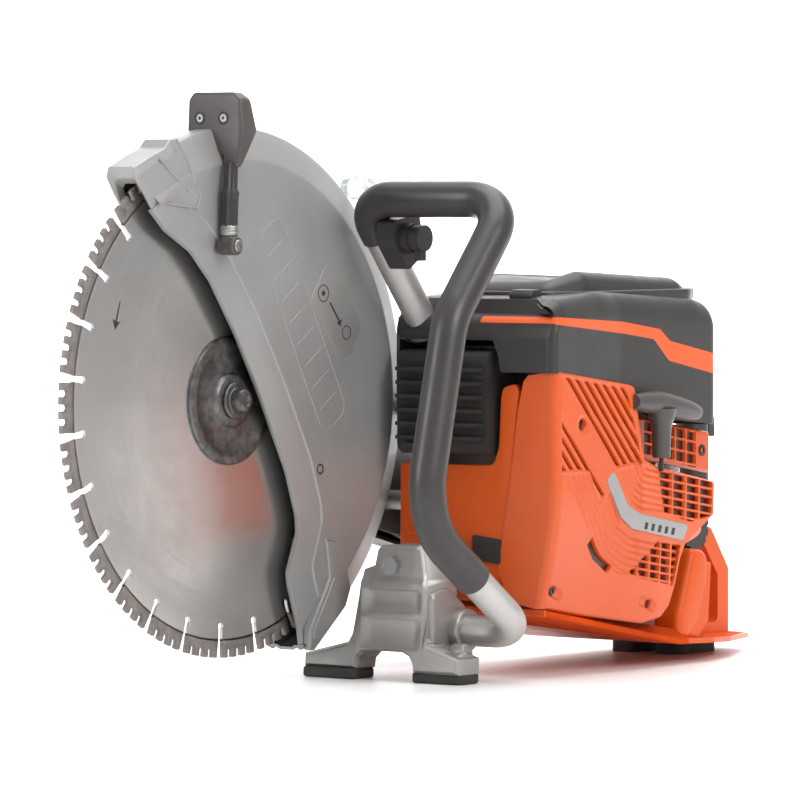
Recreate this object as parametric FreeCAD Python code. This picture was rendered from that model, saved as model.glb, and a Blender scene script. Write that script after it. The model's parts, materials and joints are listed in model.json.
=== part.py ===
import FreeCAD, Part
import math
import os

# A petrol cut-off saw for concrete, as separate sub-parts. Units are millimetres.
# The parts are drawn in the machine's frame: +X points forward, +Y to the user's left, +Z up,
# with the blade's centre above X = 0, Y = 0. They are written out moved to the bottom centre of the
# whole machine.

# Blade and its drive
BLADE_R = 203.0
CORE_R = 190.0
CORE_T = 2.8
SEGMENT_T = 3.6
SEGMENTS = 27
SLOT_PHASE_DEG = 6.6
KEYHOLE_R = 178.0
SPINDLE_Z = 225.0
ARBOR_R = 12.7
FLANGE_R = 51.0
SPINDLE_R = 8.5
HUB_R = 27.0
BELT_Y0 = -50.0
BELT_Y1 = -36.0
BIG_PULLEY_R = 50.0
SMALL_PULLEY_R = 25.0
BELT_T = 3.5
FIT = 0.3

# Engine
CRANK_X = -290.0
CRANK_Z = 128.0
MID_Y = 72.0
BORE_R = 30.0
STROKE = 42.0
ROD_LENGTH = 74.0
CRANK_THROW = STROKE / 2.0
SHAFT_R = 8.5
WEB_R = 34.0
WEB_GAP = 8.0
WEB_T = 14.0
CASE_R = 46.0
WALL = 3.0
PORT_Z = CRANK_Z + 78.0

# Guard
GUARD_R = 215.0
GUARD_SIDE_R = 189.0
GUARD_SHOULDER_Y = 8.0
GUARD_FACE_Y = 20.0
GUARD_WALL = 3.0
GUARD_LIP = [(142, 399), (94, 359), (62, 342), (38, 319), (7, 277), (-25, 225), (-57, 167), (-70, 131),
             (-58, 86), (-72, 41), (-80, 21)]

# Body envelope
BODY_FRONT_X = -185.0
BODY_LEFT_Y = 188.0
REAR_X = -560.0
RIGHT_Y = -62.0
LEFT_Y = 202.0
COWL_SIDE = [(-180, 243), (-180, 292), (-196, 303), (-260, 310), (-420, 303), (-434, 284), (-430, 196),
             (-318, 207), (-300, 212), (-286, 230.5), (-186, 243)]

# Rear unit
CONTROL_X = -448.0
FILLER = (-430, 110)
STAND_SIDE = [(-450, 16), (-546, 12.5), (-546, 69), (-520, 104), (-450, 128)]

# Starter
REEL_R = 31.0
PULL_X = CRANK_X - REEL_R - 5.0
PULL_Y = 190.0

# Front handle
TUBE_R = 12.5
GRIP_R = 14.5
HANDLE_ROUTE = [(-200, 46, 277), (-118, 42, 383), (-131, 180, 383), (-52, 180, 290), (-15, 180, 134),
                (-150, 180, 40), (-150, 126, 40)]
ARM_BOLTS = [(-238, 214), (-332, 214), (-238, 136)]
SCREW_SPOTS = [(-196, 212), (-196, 70), (-330, 52), (-396, 140)]
HANDLE_BENDS = [26, 34, 60, 62, 30]

# Where the origin of the written parts lies in the machine's frame
ORIGIN = FreeCAD.Vector((BLADE_R + REAR_X) / 2.0, (LEFT_Y + RIGHT_Y) / 2.0, 0.0)
AXES = {"X": FreeCAD.Vector(1, 0, 0), "Y": FreeCAD.Vector(0, 1, 0), "Z": FreeCAD.Vector(0, 0, 1)}


def vec(x, y, z):
    return FreeCAD.Vector(x, y, z)


def place(axis, a, b, along):
    """The point at (a, b) across the axis and `along` on it."""
    return {"X": vec(along, a, b), "Y": vec(a, along, b), "Z": vec(a, b, along)}[axis]


def box(x0, x1, y0, y1, z0, z1):
    return Part.makeBox(x1 - x0, y1 - y0, z1 - z0, vec(x0, y0, z0))


def rod(axis, a, b, radius, lo, hi):
    return Part.makeCylinder(radius, hi - lo, place(axis, a, b, lo), AXES[axis])


def ring(axis, a, b, outer, inner, lo, hi):
    return rod(axis, a, b, outer, lo, hi).cut(rod(axis, a, b, inner, lo - 1, hi + 1))


def cone(axis, a, b, r0, r1, lo, hi):
    return Part.makeCone(r0, r1, hi - lo, place(axis, a, b, lo), AXES[axis])


def rounded_edges(points, radii, closed):
    """Straight edges joined by tangent arcs at the corners that have a radius."""
    count = len(points)
    trims = []
    for i, radius in enumerate(radii):
        inner = closed or 0 < i < count - 1
        if not inner or radius <= 0:
            trims.append(None)
            continue
        before = (points[i - 1] - points[i]).normalize()
        after = (points[(i + 1) % count] - points[i]).normalize()
        half = before.getAngle(after) / 2.0
        back = radius / math.tan(half)
        middle = (before + after).normalize()
        start = points[i] + before * back
        end = points[i] + after * back
        top = points[i] + middle * (radius / math.sin(half) - radius)
        trims.append((start, top, end))
    edges = []
    for i in range(count):
        if trims[i]:
            edges.append(Part.Arc(*trims[i]).toShape())
        if i == count - 1 and not closed:
            break
        j = (i + 1) % count
        start = trims[i][2] if trims[i] else points[i]
        end = trims[j][0] if trims[j] else points[j]
        if start.distanceToPoint(end) > 1e-4:
            edges.append(Part.LineSegment(start, end).toShape())
    return edges


def prism(axis, outline, lo, hi, radius=0.0):
    """An outline in the plane across the axis, with round corners, pulled from lo to hi."""
    points = [place(axis, a, b, lo) for a, b in outline]
    wire = Part.Wire(rounded_edges(points, [radius] * len(points), True))
    return Part.Face(wire).extrude(AXES[axis] * (hi - lo))


def tube(route, bends, outer, inner=0.0):
    """A round tube along straight runs joined by bends."""
    points = [vec(*p) for p in route]
    path = Part.Wire(rounded_edges(points, [0] + bends + [0], False))
    heading = points[1] - points[0]

    def sweep(radius):
        circle = Part.Wire(Part.Circle(points[0], heading, radius).toShape())
        return path.makePipeShell([circle], True, True)
    solid = sweep(outer)
    return solid.cut(sweep(inner)) if inner else solid


def turned(axis_point, profile):
    """A profile of (radius, y) points turned round the Y axis through axis_point = (x, z)."""
    x, z = axis_point
    points = [vec(x + r, y, z) for r, y in profile]
    face = Part.Face(Part.makePolygon(points + points[:1]))
    return face.revolve(vec(x, 0, z), AXES["Y"], 360)


def joined(shapes):
    result = shapes[0].fuse(shapes[1:]) if len(shapes) > 1 else shapes[0]
    return result.removeSplitter()


def group(shapes):
    return Part.makeCompound(shapes)


def around(shape, x, z, angle):
    copy = shape.copy()
    copy.rotate(vec(x, 0, z), AXES["Y"], angle)
    return copy


def slanted(shape, centre, axis, angle):
    copy = shape.copy()
    copy.rotate(vec(*centre), AXES[axis], angle)
    return copy


# Blade

def blade_core():
    disc = ring("Y", 0, SPINDLE_Z, CORE_R, ARBOR_R, -CORE_T / 2, CORE_T / 2)
    slot = box(KEYHOLE_R, CORE_R + 1, -2, 2, SPINDLE_Z - 0.9, SPINDLE_Z + 0.9)
    keyhole = rod("Y", KEYHOLE_R, SPINDLE_Z, 3.6, -2, 2)
    one = slot.fuse(keyhole)
    step = 360.0 / SEGMENTS
    return disc.cut(group([around(one, 0, SPINDLE_Z, -SLOT_PHASE_DEG - i * step) for i in range(SEGMENTS)]))


def blade_segments():
    band = ring("Y", 0, SPINDLE_Z, BLADE_R, CORE_R + 0.02, -SEGMENT_T / 2, SEGMENT_T / 2)
    step = 360.0 / SEGMENTS
    gap = box(CORE_R - 1, BLADE_R + 1, -3, 3, SPINDLE_Z - 1.6, SPINDLE_Z + 1.6)
    notch = box(BLADE_R - 4.6, BLADE_R + 1, -3, 3, SPINDLE_Z - 1.3, SPINDLE_Z + 1.3)
    notch = notch.fuse(rod("Y", BLADE_R - 4.6, SPINDLE_Z, 1.3, -3, 3))
    cuts = []
    for i in range(SEGMENTS):
        cuts.append(around(gap, 0, SPINDLE_Z, -SLOT_PHASE_DEG - i * step))
        for part in (1, 2, 3):
            cuts.append(around(notch, 0, SPINDLE_Z, -SLOT_PHASE_DEG - (i + part / 4.0) * step))
    return band.cut(group(cuts))


def outer_flange():
    bottom = CORE_T / 2
    profile = [(ARBOR_R - 4, bottom), (FLANGE_R, bottom), (FLANGE_R, 3.2), (FLANGE_R - 3, 3.6), (34, 3.0),
               (22, 4.4), (17, 7.0), (ARBOR_R - 4, 7.0)]
    return turned((0, SPINDLE_Z), profile)


def inner_flange():
    top = -CORE_T / 2
    profile = [(SPINDLE_R, top), (FLANGE_R, top), (FLANGE_R, -3.6), (24, -6.5), (22, -9.5), (SPINDLE_R, -9.5)]
    return turned((0, SPINDLE_Z), profile)


def spindle():
    collar = ring("Y", 0, SPINDLE_Z, ARBOR_R - 0.05, 5.0, -CORE_T / 2, CORE_T / 2)
    shaft = rod("Y", 0, SPINDLE_Z, SPINDLE_R, BELT_Y0 - 2, -CORE_T / 2)
    return joined([shaft.cut(rod("Y", 0, SPINDLE_Z, 5.0, -32, 0)), collar])


def spindle_bolt():
    washer = ring("Y", 0, SPINDLE_Z, 14.5, 5.0, 7.0, 9.5)
    head = prism("Y", hexagon(0, SPINDLE_Z, 9.2), 9.5, 16.0).fuse(rod("Y", 0, SPINDLE_Z, 6.4, 16.0, 20.0))
    return joined([washer, head, rod("Y", 0, SPINDLE_Z, 5.0, -30, 9.5)])


def hexagon(a, b, radius):
    turns = [math.radians(60 * i + 10) for i in range(6)]
    return [(a + radius * math.cos(t), b + radius * math.sin(t)) for t in turns]


def belt_pulley(x, z, radius, bore):
    """A ribbed pulley with a rim, web and hub."""
    body = ring("Y", x, z, radius, bore, BELT_Y0, BELT_Y1)
    for i in range(5):
        y = BELT_Y0 + 2.0 + i * 2.35
        groove = turned((x, z), [(radius - 1.6, y + 0.6), (radius + 1, y), (radius + 1, y + 1.2)])
        body = body.cut(groove)
    return body


def spindle_pulley():
    body = belt_pulley(0, SPINDLE_Z, BIG_PULLEY_R, SPINDLE_R)
    return body.cut(ring("Y", 0, SPINDLE_Z, BIG_PULLEY_R - 8, 18, BELT_Y0 - 1, BELT_Y0 + 4))


# Belt drive and arm

def belt_outline(extra):
    """The loop round both pulleys, `extra` outside their rims."""
    big = BIG_PULLEY_R + extra
    small = SMALL_PULLEY_R + extra
    length = math.hypot(CRANK_X, SPINDLE_Z - CRANK_Z)
    heading = math.atan2(CRANK_Z - SPINDLE_Z, CRANK_X)
    lean = math.acos((big - small) / length)
    return big, small, heading, lean


def belt_solid(extra, lo, hi):
    big, small, heading, lean = belt_outline(extra)
    ends = []
    for side in (1, -1):
        turn = heading + side * lean
        out = (math.cos(turn), math.sin(turn))
        ends.append([(big * out[0], SPINDLE_Z + big * out[1]),
                     (CRANK_X + small * out[0], CRANK_Z + small * out[1])])
    web = prism("Y", [ends[0][0], ends[0][1], ends[1][1], ends[1][0]], lo, hi)
    return joined([web, rod("Y", 0, SPINDLE_Z, big, lo, hi), rod("Y", CRANK_X, CRANK_Z, small, lo, hi)])


def drive_belt():
    outer = belt_solid(FIT + BELT_T, BELT_Y0 + 1, BELT_Y1 - 1)
    return outer.cut(belt_solid(FIT, BELT_Y0, BELT_Y1))


def cutting_arm():
    plate = belt_solid(4.0, -34.0, -28.0)
    wide = prism("Y", [(-225, 120), (-225, 232), (-345, 232), (-345, 100), (-300, 88)], -34, -28, 12)
    hub = rod("Y", 0, SPINDLE_Z, HUB_R, -34, -11)
    rib_top = slanted(box(-230, -40, -42, -34, 268, 274), (-40, 0, 274), "Y", -12)
    boss = group([rod("Y", x, z, 9, -34, -22) for x, z in ARM_BOLTS])
    body = plate.fuse([wide, hub]).fuse(boss)
    body = body.cut(rod("Y", 0, SPINDLE_Z, 17.5, -33, 0)).cut(rod("Y", 0, SPINDLE_Z, 12, -60, 0))
    body = body.cut(rod("Y", CRANK_X, CRANK_Z, 17, -60, 0))
    holes = group([rod("Y", x, z, 4.0, -40, -20) for x, z in ARM_BOLTS])
    return body.cut(rib_top).cut(holes)


def spindle_bearings():
    return group([bearing(0, SPINDLE_Z, 17.5, SPINDLE_R, y, y + 9) for y in (-32.5, -21.5)])


def bearing(x, z, outer, inner, lo, hi):
    """Two races with balls between them, joined by a cage band, as one closed solid."""
    middle = (outer + inner) / 2
    races = [ring("Y", x, z, outer, outer - 2.2, lo, hi), ring("Y", x, z, inner + 2.2, inner, lo, hi)]
    cage = ring("Y", x, z, outer - 2.2, inner + 2.2, lo + 3.5, hi - 3.5)
    ball = Part.makeSphere((outer - inner) / 2 - 2.05, vec(x + middle, (lo + hi) / 2, z))
    balls = [around(ball, x, z, 7 + 40 * i) for i in range(9)]
    return joined(races + [cage] + balls)


def belt_guard():
    outer = belt_solid(11.0, RIGHT_Y, -34.0)
    inner = belt_solid(8.0, RIGHT_Y + WALL, -33.0)
    shell = outer.cut(inner)
    cap = ring("Y", 0, SPINDLE_Z, 26, 20, RIGHT_Y + WALL, RIGHT_Y + 6)
    slots = [slanted(box(-200 + 22 * i, -190 + 22 * i, RIGHT_Y - 1, RIGHT_Y + WALL + 1, 166, 196),
                     (-195 + 22 * i, 0, 181), "Y", -15) for i in range(5)]
    return shell.cut(group(slots)).fuse(cap)


def arm_nuts():
    """The nuts and studs that hold the arm to the engine."""
    nuts = []
    for x, z in ARM_BOLTS:
        nuts.append(prism("Y", hexagon(x, z, 7.5), -41, -34).fuse(rod("Y", x, z, 4, -43, 20)))
    return group(nuts)


# Engine

def crankcase_half(lo, hi, closed_lo):
    """One half of the crankcase: a round chamber with a flat-topped mouth for the cylinder."""
    block = rod("Y", CRANK_X, CRANK_Z, CASE_R, lo, hi)
    mouth = box(CRANK_X - 40, CRANK_X + 40, lo, hi, CRANK_Z, CRANK_Z + 52)
    lugs = [box(CRANK_X - 62, CRANK_X + 62, lo, hi, CRANK_Z - 34, CRANK_Z - 20)]
    body = joined([block, mouth] + lugs)
    chamber_lo = lo + 14 if closed_lo else lo - 1
    chamber_hi = hi + 1 if closed_lo else hi - 14
    body = body.cut(rod("Y", CRANK_X, CRANK_Z, WEB_R + 2, chamber_lo, chamber_hi))
    well = rod("Z", CRANK_X, MID_Y, BORE_R + 3, CRANK_Z, CRANK_Z + 60)
    body = body.cut(well)
    bearing_hole = rod("Y", CRANK_X, CRANK_Z, 17.5, lo - 1, hi + 1)
    return body.cut(bearing_hole)


def handle_leg(radius, length):
    """A round bar along the right leg of the front handle, from its lower end."""
    start = vec(*HANDLE_ROUTE[0])
    return Part.makeCylinder(radius, length, start, vec(*HANDLE_ROUTE[1]) - start)


def crankcase_right():
    """The drive-side half, with the plate that carries the arm and a post for the front handle."""
    boss = [ring("Y", x, z, 8, 4.2, -22, 21) for x, z in ARM_BOLTS]
    plate = prism("Y", [(-222, 106), (-222, 228), (-348, 228), (-348, 96), (-300, 84)], 20, 27.5, 10)
    plate = plate.cut(rod("Y", CRANK_X, CRANK_Z, 17.5, 0, 60))
    plate = plate.cut(group([rod("Y", x, z, 4.2, 0, 60) for x, z in ARM_BOLTS]))
    post = prism("Y", [(-240, 190), (-226, 190), (-224, 262), (-186, 270), (-186, 288), (-208, 288),
                       (-240, 250)], 27.5, 32)
    socket = handle_leg(16, 10)
    half = crankcase_half(MID_Y - 42, MID_Y, True).cut(box(-400, -200, 20, 30, 0, 400))
    flange = rod("Y", CRANK_X, CRANK_Z, 30, 27, 31).cut(rod("Y", CRANK_X, CRANK_Z, 17.5, 0, 60))
    return joined([half, flange, plate, post, socket] + boss).cut(handle_leg(TUBE_R, 40))


def crankcase_left():
    return crankcase_half(MID_Y, MID_Y + 42, False)


def crank_bearings():
    return group([bearing(CRANK_X, CRANK_Z, 17.5, SHAFT_R, y, y + 11) for y in (31.0, 102.0)])


def crankshaft():
    inner = WEB_GAP
    outer = WEB_GAP + WEB_T
    webs = [rod("Y", CRANK_X, CRANK_Z, WEB_R, MID_Y + inner, MID_Y + outer),
            rod("Y", CRANK_X, CRANK_Z, WEB_R, MID_Y - outer, MID_Y - inner)]
    right = rod("Y", CRANK_X, CRANK_Z, SHAFT_R, -18, MID_Y - outer)
    stub = rod("Y", CRANK_X, CRANK_Z, 6.0, -54, -18)
    left = rod("Y", CRANK_X, CRANK_Z, SHAFT_R, MID_Y + outer, 132).fuse(
        rod("Y", CRANK_X, CRANK_Z, 5.0, 132, 152))
    return group([joined([webs[0], left]), joined([webs[1], right, stub])])


def flywheel():
    disc = ring("Y", CRANK_X, CRANK_Z, 56, 5.0, 134, 142)
    hub = ring("Y", CRANK_X, CRANK_Z, 16, 5.0, 130, 148)
    hub = hub.cut(rod("Y", CRANK_X, CRANK_Z, SHAFT_R, 120, 132))
    rim = ring("Y", CRANK_X, CRANK_Z, 56, 44, 126, 134)
    blade = box(CRANK_X + 20, CRANK_X + 54, 141.5, 154, CRANK_Z - 1.2, CRANK_Z + 1.2)
    fan = [around(slanted(blade, (CRANK_X + 20, 0, CRANK_Z), "Y", 18), CRANK_X, CRANK_Z, 30 * i)
           for i in range(12)]
    nut = prism("Y", hexagon(CRANK_X, CRANK_Z, 9), 148, 154)
    nut = nut.cut(rod("Y", CRANK_X, CRANK_Z, 5.0, 140, 160))
    return joined([disc, hub, rim, nut] + fan)


def clutch_shoes():
    """Three centrifugal shoes on a hub that grips the shaft."""
    hub = ring("Y", CRANK_X, CRANK_Z, 13, SHAFT_R, -16, 0)
    band = ring("Y", CRANK_X, CRANK_Z, 35.5, 20, -15, -1)
    gap = box(CRANK_X, CRANK_X + 40, -20, 5, CRANK_Z - 2, CRANK_Z + 2)
    band = band.cut(group([around(gap, CRANK_X, CRANK_Z, 120 * i) for i in range(3)]))
    arm = box(CRANK_X + 11, CRANK_X + 22, -12, -4, CRANK_Z - 5, CRANK_Z + 5)
    arms = [around(arm, CRANK_X, CRANK_Z, 60 + 120 * i) for i in range(3)]
    return joined([hub, band] + arms)


def clutch_drum():
    cup = ring("Y", CRANK_X, CRANK_Z, 39, 36.5, -20, 1)
    floor = ring("Y", CRANK_X, CRANK_Z, 39, 6.1, -22, -18.5)
    neck = ring("Y", CRANK_X, CRANK_Z, 15, 6.1, BELT_Y1, -20)
    return joined([cup, floor, neck, belt_pulley(CRANK_X, CRANK_Z, SMALL_PULLEY_R, 6.1)])


def piston():
    """Piston at the bottom of its stroke."""
    pin_z = CRANK_Z - CRANK_THROW + ROD_LENGTH
    crown = rod("Z", CRANK_X, MID_Y, BORE_R - 0.08, pin_z - 14, pin_z + 24)
    hollow = rod("Z", CRANK_X, MID_Y, BORE_R - 4, pin_z - 15, pin_z + 18)
    bosses = box(CRANK_X - 9, CRANK_X + 9, MID_Y - 26, MID_Y + 26, pin_z - 9, pin_z + 18.5)
    bosses = bosses.cut(box(CRANK_X - 30, CRANK_X + 30, MID_Y - 8, MID_Y + 8, pin_z - 20, pin_z + 18))
    body = joined([crown.cut(hollow), bosses]).cut(rod("Y", CRANK_X, pin_z, 5.5, MID_Y - 25, MID_Y + 25))
    for z in (pin_z + 12, pin_z + 18):
        groove = rod("Z", CRANK_X, MID_Y, BORE_R + 1, z, z + 1.2)
        groove = groove.cut(rod("Z", CRANK_X, MID_Y, BORE_R - 1.0, z, z + 1.2))
        body = body.cut(groove)
    return group([body, rod("Y", CRANK_X, pin_z, 5.5, MID_Y - 24.5, MID_Y + 24.5)])


def connecting_rod():
    low = CRANK_Z - CRANK_THROW
    high = low + ROD_LENGTH
    eyes = [rod("Y", CRANK_X, z, radius, MID_Y - 6, MID_Y + 6) for z, radius in ((low, 12), (high, 10))]
    beam = box(CRANK_X - 6, CRANK_X + 6, MID_Y - 4, MID_Y + 4, low, high)
    body = joined(eyes + [beam]).cut(rod("Y", CRANK_X, high, 5.52, MID_Y - 10, MID_Y + 10))
    return body


def cylinder():
    base = CRANK_Z + 52
    top = base + 84
    barrel = rod("Z", CRANK_X, MID_Y, BORE_R + 6, base, top)
    fins = [prism("Z", [(CRANK_X - 46, MID_Y - 44), (CRANK_X + 46, MID_Y - 44), (CRANK_X + 46, MID_Y + 44),
                        (CRANK_X - 46, MID_Y + 44)], base + 9 + 8 * i, base + 11.5 + 8 * i, 14)
            for i in range(10)]
    foot = box(CRANK_X - 38, CRANK_X + 38, MID_Y - 38, MID_Y + 38, base, base + 6)
    exhaust = box(CRANK_X + 30, CRANK_X + 52, MID_Y - 16, MID_Y + 16, base + 22, base + 46)
    intake = box(CRANK_X - 52, CRANK_X - 30, MID_Y - 16, MID_Y + 16, base + 14, base + 38)
    body = joined([barrel, foot, exhaust, intake] + fins)
    body = body.cut(rod("Z", CRANK_X, MID_Y, BORE_R, base - 1, top - 8))
    body = body.cut(rod("X", MID_Y, base + 34, 9, CRANK_X, CRANK_X + 60))
    body = body.cut(rod("X", MID_Y, base + 26, 9, CRANK_X - 60, CRANK_X))
    body = body.cut(rod("Z", CRANK_X, MID_Y, 5, top - 10, top + 1))
    return body.cut(rod("Z", CRANK_X + 20, MID_Y, 5.3, top - 7, top + 1))


def spark_plug():
    base = CRANK_Z + 52 + 84
    thread = rod("Z", CRANK_X, MID_Y, 5, base - 9, base)
    hexa = prism("Z", hexagon(CRANK_X, MID_Y, 9), base, base + 6)
    cap = rod("Z", CRANK_X, MID_Y, 7.5, base + 6, base + 17)
    return joined([thread, hexa, cap])


def muffler():
    body = prism("Y", [(-232, 178), (-232, 262), (-176, 262), (-176, 178)], 34, 124, 10)
    fins = [box(-176.5, -168, 38, 120, z, z + 3) for z in range(190, 256, 11)]
    port = box(CRANK_X + 52, -231, MID_Y - 16, MID_Y + 16, 202, 226)
    outlet = box(-178, -166, 46, 74, 179, 187)
    chamber = box(-229, -180, 37, 121, 181, 259)
    return joined([body, port, outlet] + fins).cut(chamber)


def carburettor():
    x = CRANK_X - 80
    block = box(x - 18, x + 10, MID_Y - 20, MID_Y + 20, 189, 229)
    cover = box(x - 14, x + 6, MID_Y - 14, MID_Y + 14, 181, 189)
    return joined([block, cover]).cut(rod("X", MID_Y, PORT_Z, 9, x - 30, x + 30))


def intake_boot():
    x = CRANK_X - 52
    rings = [ring("X", MID_Y, PORT_Z, 17 - 2 * (i % 2), 9, x - 18 + 4.5 * i, x - 13.5 + 4.5 * i)
             for i in range(4)]
    return joined(rings)


def air_filter():
    pleats = [box(-424 + 7 * i, -420.5 + 7 * i, 46, 124, 266, 290) for i in range(12)]
    frame = box(-426, -340, 42, 128, 260, 266)
    return joined([frame] + pleats)


# Covers

def top_cowl():
    outer = prism("Y", COWL_SIDE, 24, BODY_LEFT_Y)
    taper = prism("Z", [(-184, 188), (-284, 177), (-445, 177), (-445, 200), (-184, 200)], 150, 330)
    shoulder = slanted(box(-440, -170, 0, 40, 0, 60), (0, 0, 0), "X", -38)
    shoulder.translate(vec(0, BODY_LEFT_Y - 2, 296))
    inner = prism("Y", [(-183, 180), (-183, 290), (-198, 300), (-260, 306), (-418, 299), (-430, 283),
                        (-427, 180)], 27, 173, 4)
    front_mouth = prism("X", [(20, 170), (130, 170), (130, 262), (116, 277), (20, 277)], -200, -170)
    plate_notch = box(-352, -200, 10, 30, 150, 235)
    shell = outer.cut(taper).cut(shoulder).cut(inner).cut(front_mouth).cut(plate_notch)
    return shell.cut(handle_leg(14, 80)).cut(rod("Z", -236, 150, 8, 280, 320))


def filter_cover():
    lid = prism("Y", [(-222, 308.5), (-240, 325), (-400, 318), (-444, 304), (-438, 301), (-420, 303.6),
                      (-260, 310.5)], 52, 160)
    return lid.cut(box(-380, -250, 60, 152, 300, 314))


def starter_cover():
    """The side cover: louvres, two cell grilles, the rope guide, the reel's axle and the rear grille."""
    outline = [(-186, 62), (-186, 242), (-284, 230), (-286, 168), (-405, 152), (-405, 112), (-364, 102),
               (-350, 52), (-335, 42), (-300, 40), (-192, 58)]
    hollow = [(-189, 65), (-189, 238.5), (-281, 227.5), (-283, 165), (-402, 149), (-402, 114.5), (-361, 105),
              (-347, 55), (-333, 45), (-300, 43), (-195, 61)]
    side = prism("Y", outline, BODY_LEFT_Y - WALL, BODY_LEFT_Y)
    slots = []
    for i in range(7):
        x = -206 - 11 * i
        slots.append(slanted(box(x - 2.5, x + 2.5, 170, 200, 176, 218), (x, 0, 197), "Y", -34))
    for row in range(3):
        for column in range(4):
            slots.append(box(-400 + 18 * column, -386 + 18 * column, 170, 200, 122 + 9 * row, 128 + 9 * row))
    for row in range(4):
        for column in range(3):
            slots.append(box(-346 + 16 * column, -333 + 16 * column, 170, 200, 66 + 9 * row, 72 + 9 * row))
    slots += [rod("Y", x, z, 2.4, 170, 200) for x, z in SCREW_SPOTS]
    side = side.cut(group(slots))
    wall = prism("Y", outline, 140, BODY_LEFT_Y - WALL).cut(prism("Y", hollow, 139, BODY_LEFT_Y))
    wall = wall.cut(rod("Y", CRANK_X, CRANK_Z, 60, 130, 157))
    wall = wall.cut(rod("Z", PULL_X, 182, 2.5, 150, 175))
    post = ring("Y", CRANK_X, CRANK_Z, 10, 4, 182, BODY_LEFT_Y - WALL + 0.5)
    axle = rod("Y", CRANK_X, CRANK_Z, 5, 166, BODY_LEFT_Y - WALL + 0.5)
    grille = box(-418, -284, 158, 161, 164, 200)
    holes = [box(-410 + 20 * c, -395 + 20 * c, 150, 170, 171 + 9 * r, 177 + 9 * r) for r in range(3)
             for c in range(6)]
    return joined([side, wall, post, axle, grille.cut(group(holes))])


def front_panel():
    outline = [(30, 66), (140, 66), (140, 232), (131, 232), (129, 188), (127, 172), (30, 172)]
    panel = prism("X", outline, BODY_FRONT_X - WALL, BODY_FRONT_X, 3)
    side = box(-220, BODY_FRONT_X - WALL, 30, 33, 66, 172)
    lip = box(-220, BODY_FRONT_X, 33, 128, 169, 172)
    panel = panel.cut(box(-200, -180, 55.5, 100.5, 83.5, 104.5))
    return joined([panel, side, lip])


def rating_plate():
    plate = prism("X", [(104, 94), (132, 91), (132, 111), (104, 114)], BODY_FRONT_X, BODY_FRONT_X + 1.5, 2)
    rivets = [rod("X", y, z, 2, BODY_FRONT_X + 1.5, BODY_FRONT_X + 2.6) for y, z in ((108, 104), (128, 101))]
    return joined([plate] + rivets)


def cover_screws():
    """Torx screws of the starter cover, and the knob screw of the cowl."""
    screws = [rod("Y", x, z, 5, BODY_LEFT_Y, BODY_LEFT_Y + 2).fuse(
        rod("Y", x, z, 2.4, BODY_LEFT_Y - WALL, BODY_LEFT_Y)) for x, z in SCREW_SPOTS]
    screws.append(rod("Z", -236, 150, 5, 301, 305))
    return group(screws)


# Starter

def starter_reel():
    drum = ring("Y", CRANK_X, CRANK_Z, REEL_R - 2, 5.1, 169, 180)
    flanges = [ring("Y", CRANK_X, CRANK_Z, REEL_R + 4, 5.1, 168, 170.5),
               ring("Y", CRANK_X, CRANK_Z, REEL_R + 4, 5.1, 178.5, 181)]
    return joined([drum] + flanges)


def recoil_spring():
    rings = [ring("Y", CRANK_X, CRANK_Z, 14 + 4 * i, 12.5 + 4 * i, 160, 166) for i in range(5)]
    spoke = box(CRANK_X + 12.5, CRANK_X + 30, 160, 166, CRANK_Z - 1, CRANK_Z + 1)
    hook = box(CRANK_X + 30, CRANK_X + 36, 160, 166, CRANK_Z - 1.5, CRANK_Z + 1.5)
    return joined(rings + [spoke, hook])


def pull_handle():
    bar = rod("X", PULL_Y, 0, 11.5, PULL_X - 40, PULL_X + 36)
    bar.translate(vec(0, 0, 214))
    bar = slanted(bar, (PULL_X, 0, 214), "Y", -9)
    stem = cone("Z", PULL_X, PULL_Y, 7.5, 10.5, 172, 208)
    trim = box(PULL_X - 60, PULL_X + 60, PULL_Y - 30, LEFT_Y, 150, 240)
    return joined([bar, stem]).common(trim).fuse(rod("Y", PULL_X, 214, 7, LEFT_Y - 3, LEFT_Y))


# Rear unit

def fuel_tank():
    """The rear unit: fuel tank, skid plate and the stand for the handle, in one moulding."""
    tank = prism("Y", [(-196, 60), (-196, 52), (-372, 20), (-452, 16), (-452, 128), (-412, 128), (-402, 76),
                       (-300, 76), (-240, 62)], 34, 122, 4)
    lip = prism("Y", [(-188, 56), (-188, 51), (-372, 18), (-555, 10), (-555, 14), (-374, 22)], 22, 172)
    fin = prism("Y", [(-408, 84), (-432, 82), (-428, 34), (-412, 19), (-402, 19)], 146, 166, 2)
    stand = prism("Y", STAND_SIDE, 40, 106)
    hollow = prism("Y", [(-470, 26), (-530, 24), (-530, 64), (-510, 90), (-470, 104)], 30, 120, 5)
    trimmed = lip.cut(prism("Z", [(-400, 180), (-560, 180), (-560, 118), (-470, 160)], 0, 60))
    trimmed = trimmed.cut(prism("Z", [(-400, 10), (-560, 10), (-560, 30), (-470, 22)], 0, 60))
    cavity = prism("Y", [(-204, 57), (-372, 26), (-446, 22), (-446, 122), (-416, 122), (-406, 70),
                         (-300, 70)], 38, 118)
    x, z = FILLER
    body = joined([tank, trimmed, fin, stand.cut(hollow), rod("Y", x, z, 16, 119, 140)])
    return body.cut(cavity).cut(rod("Y", x, z, 12, 110, 150))


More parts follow.
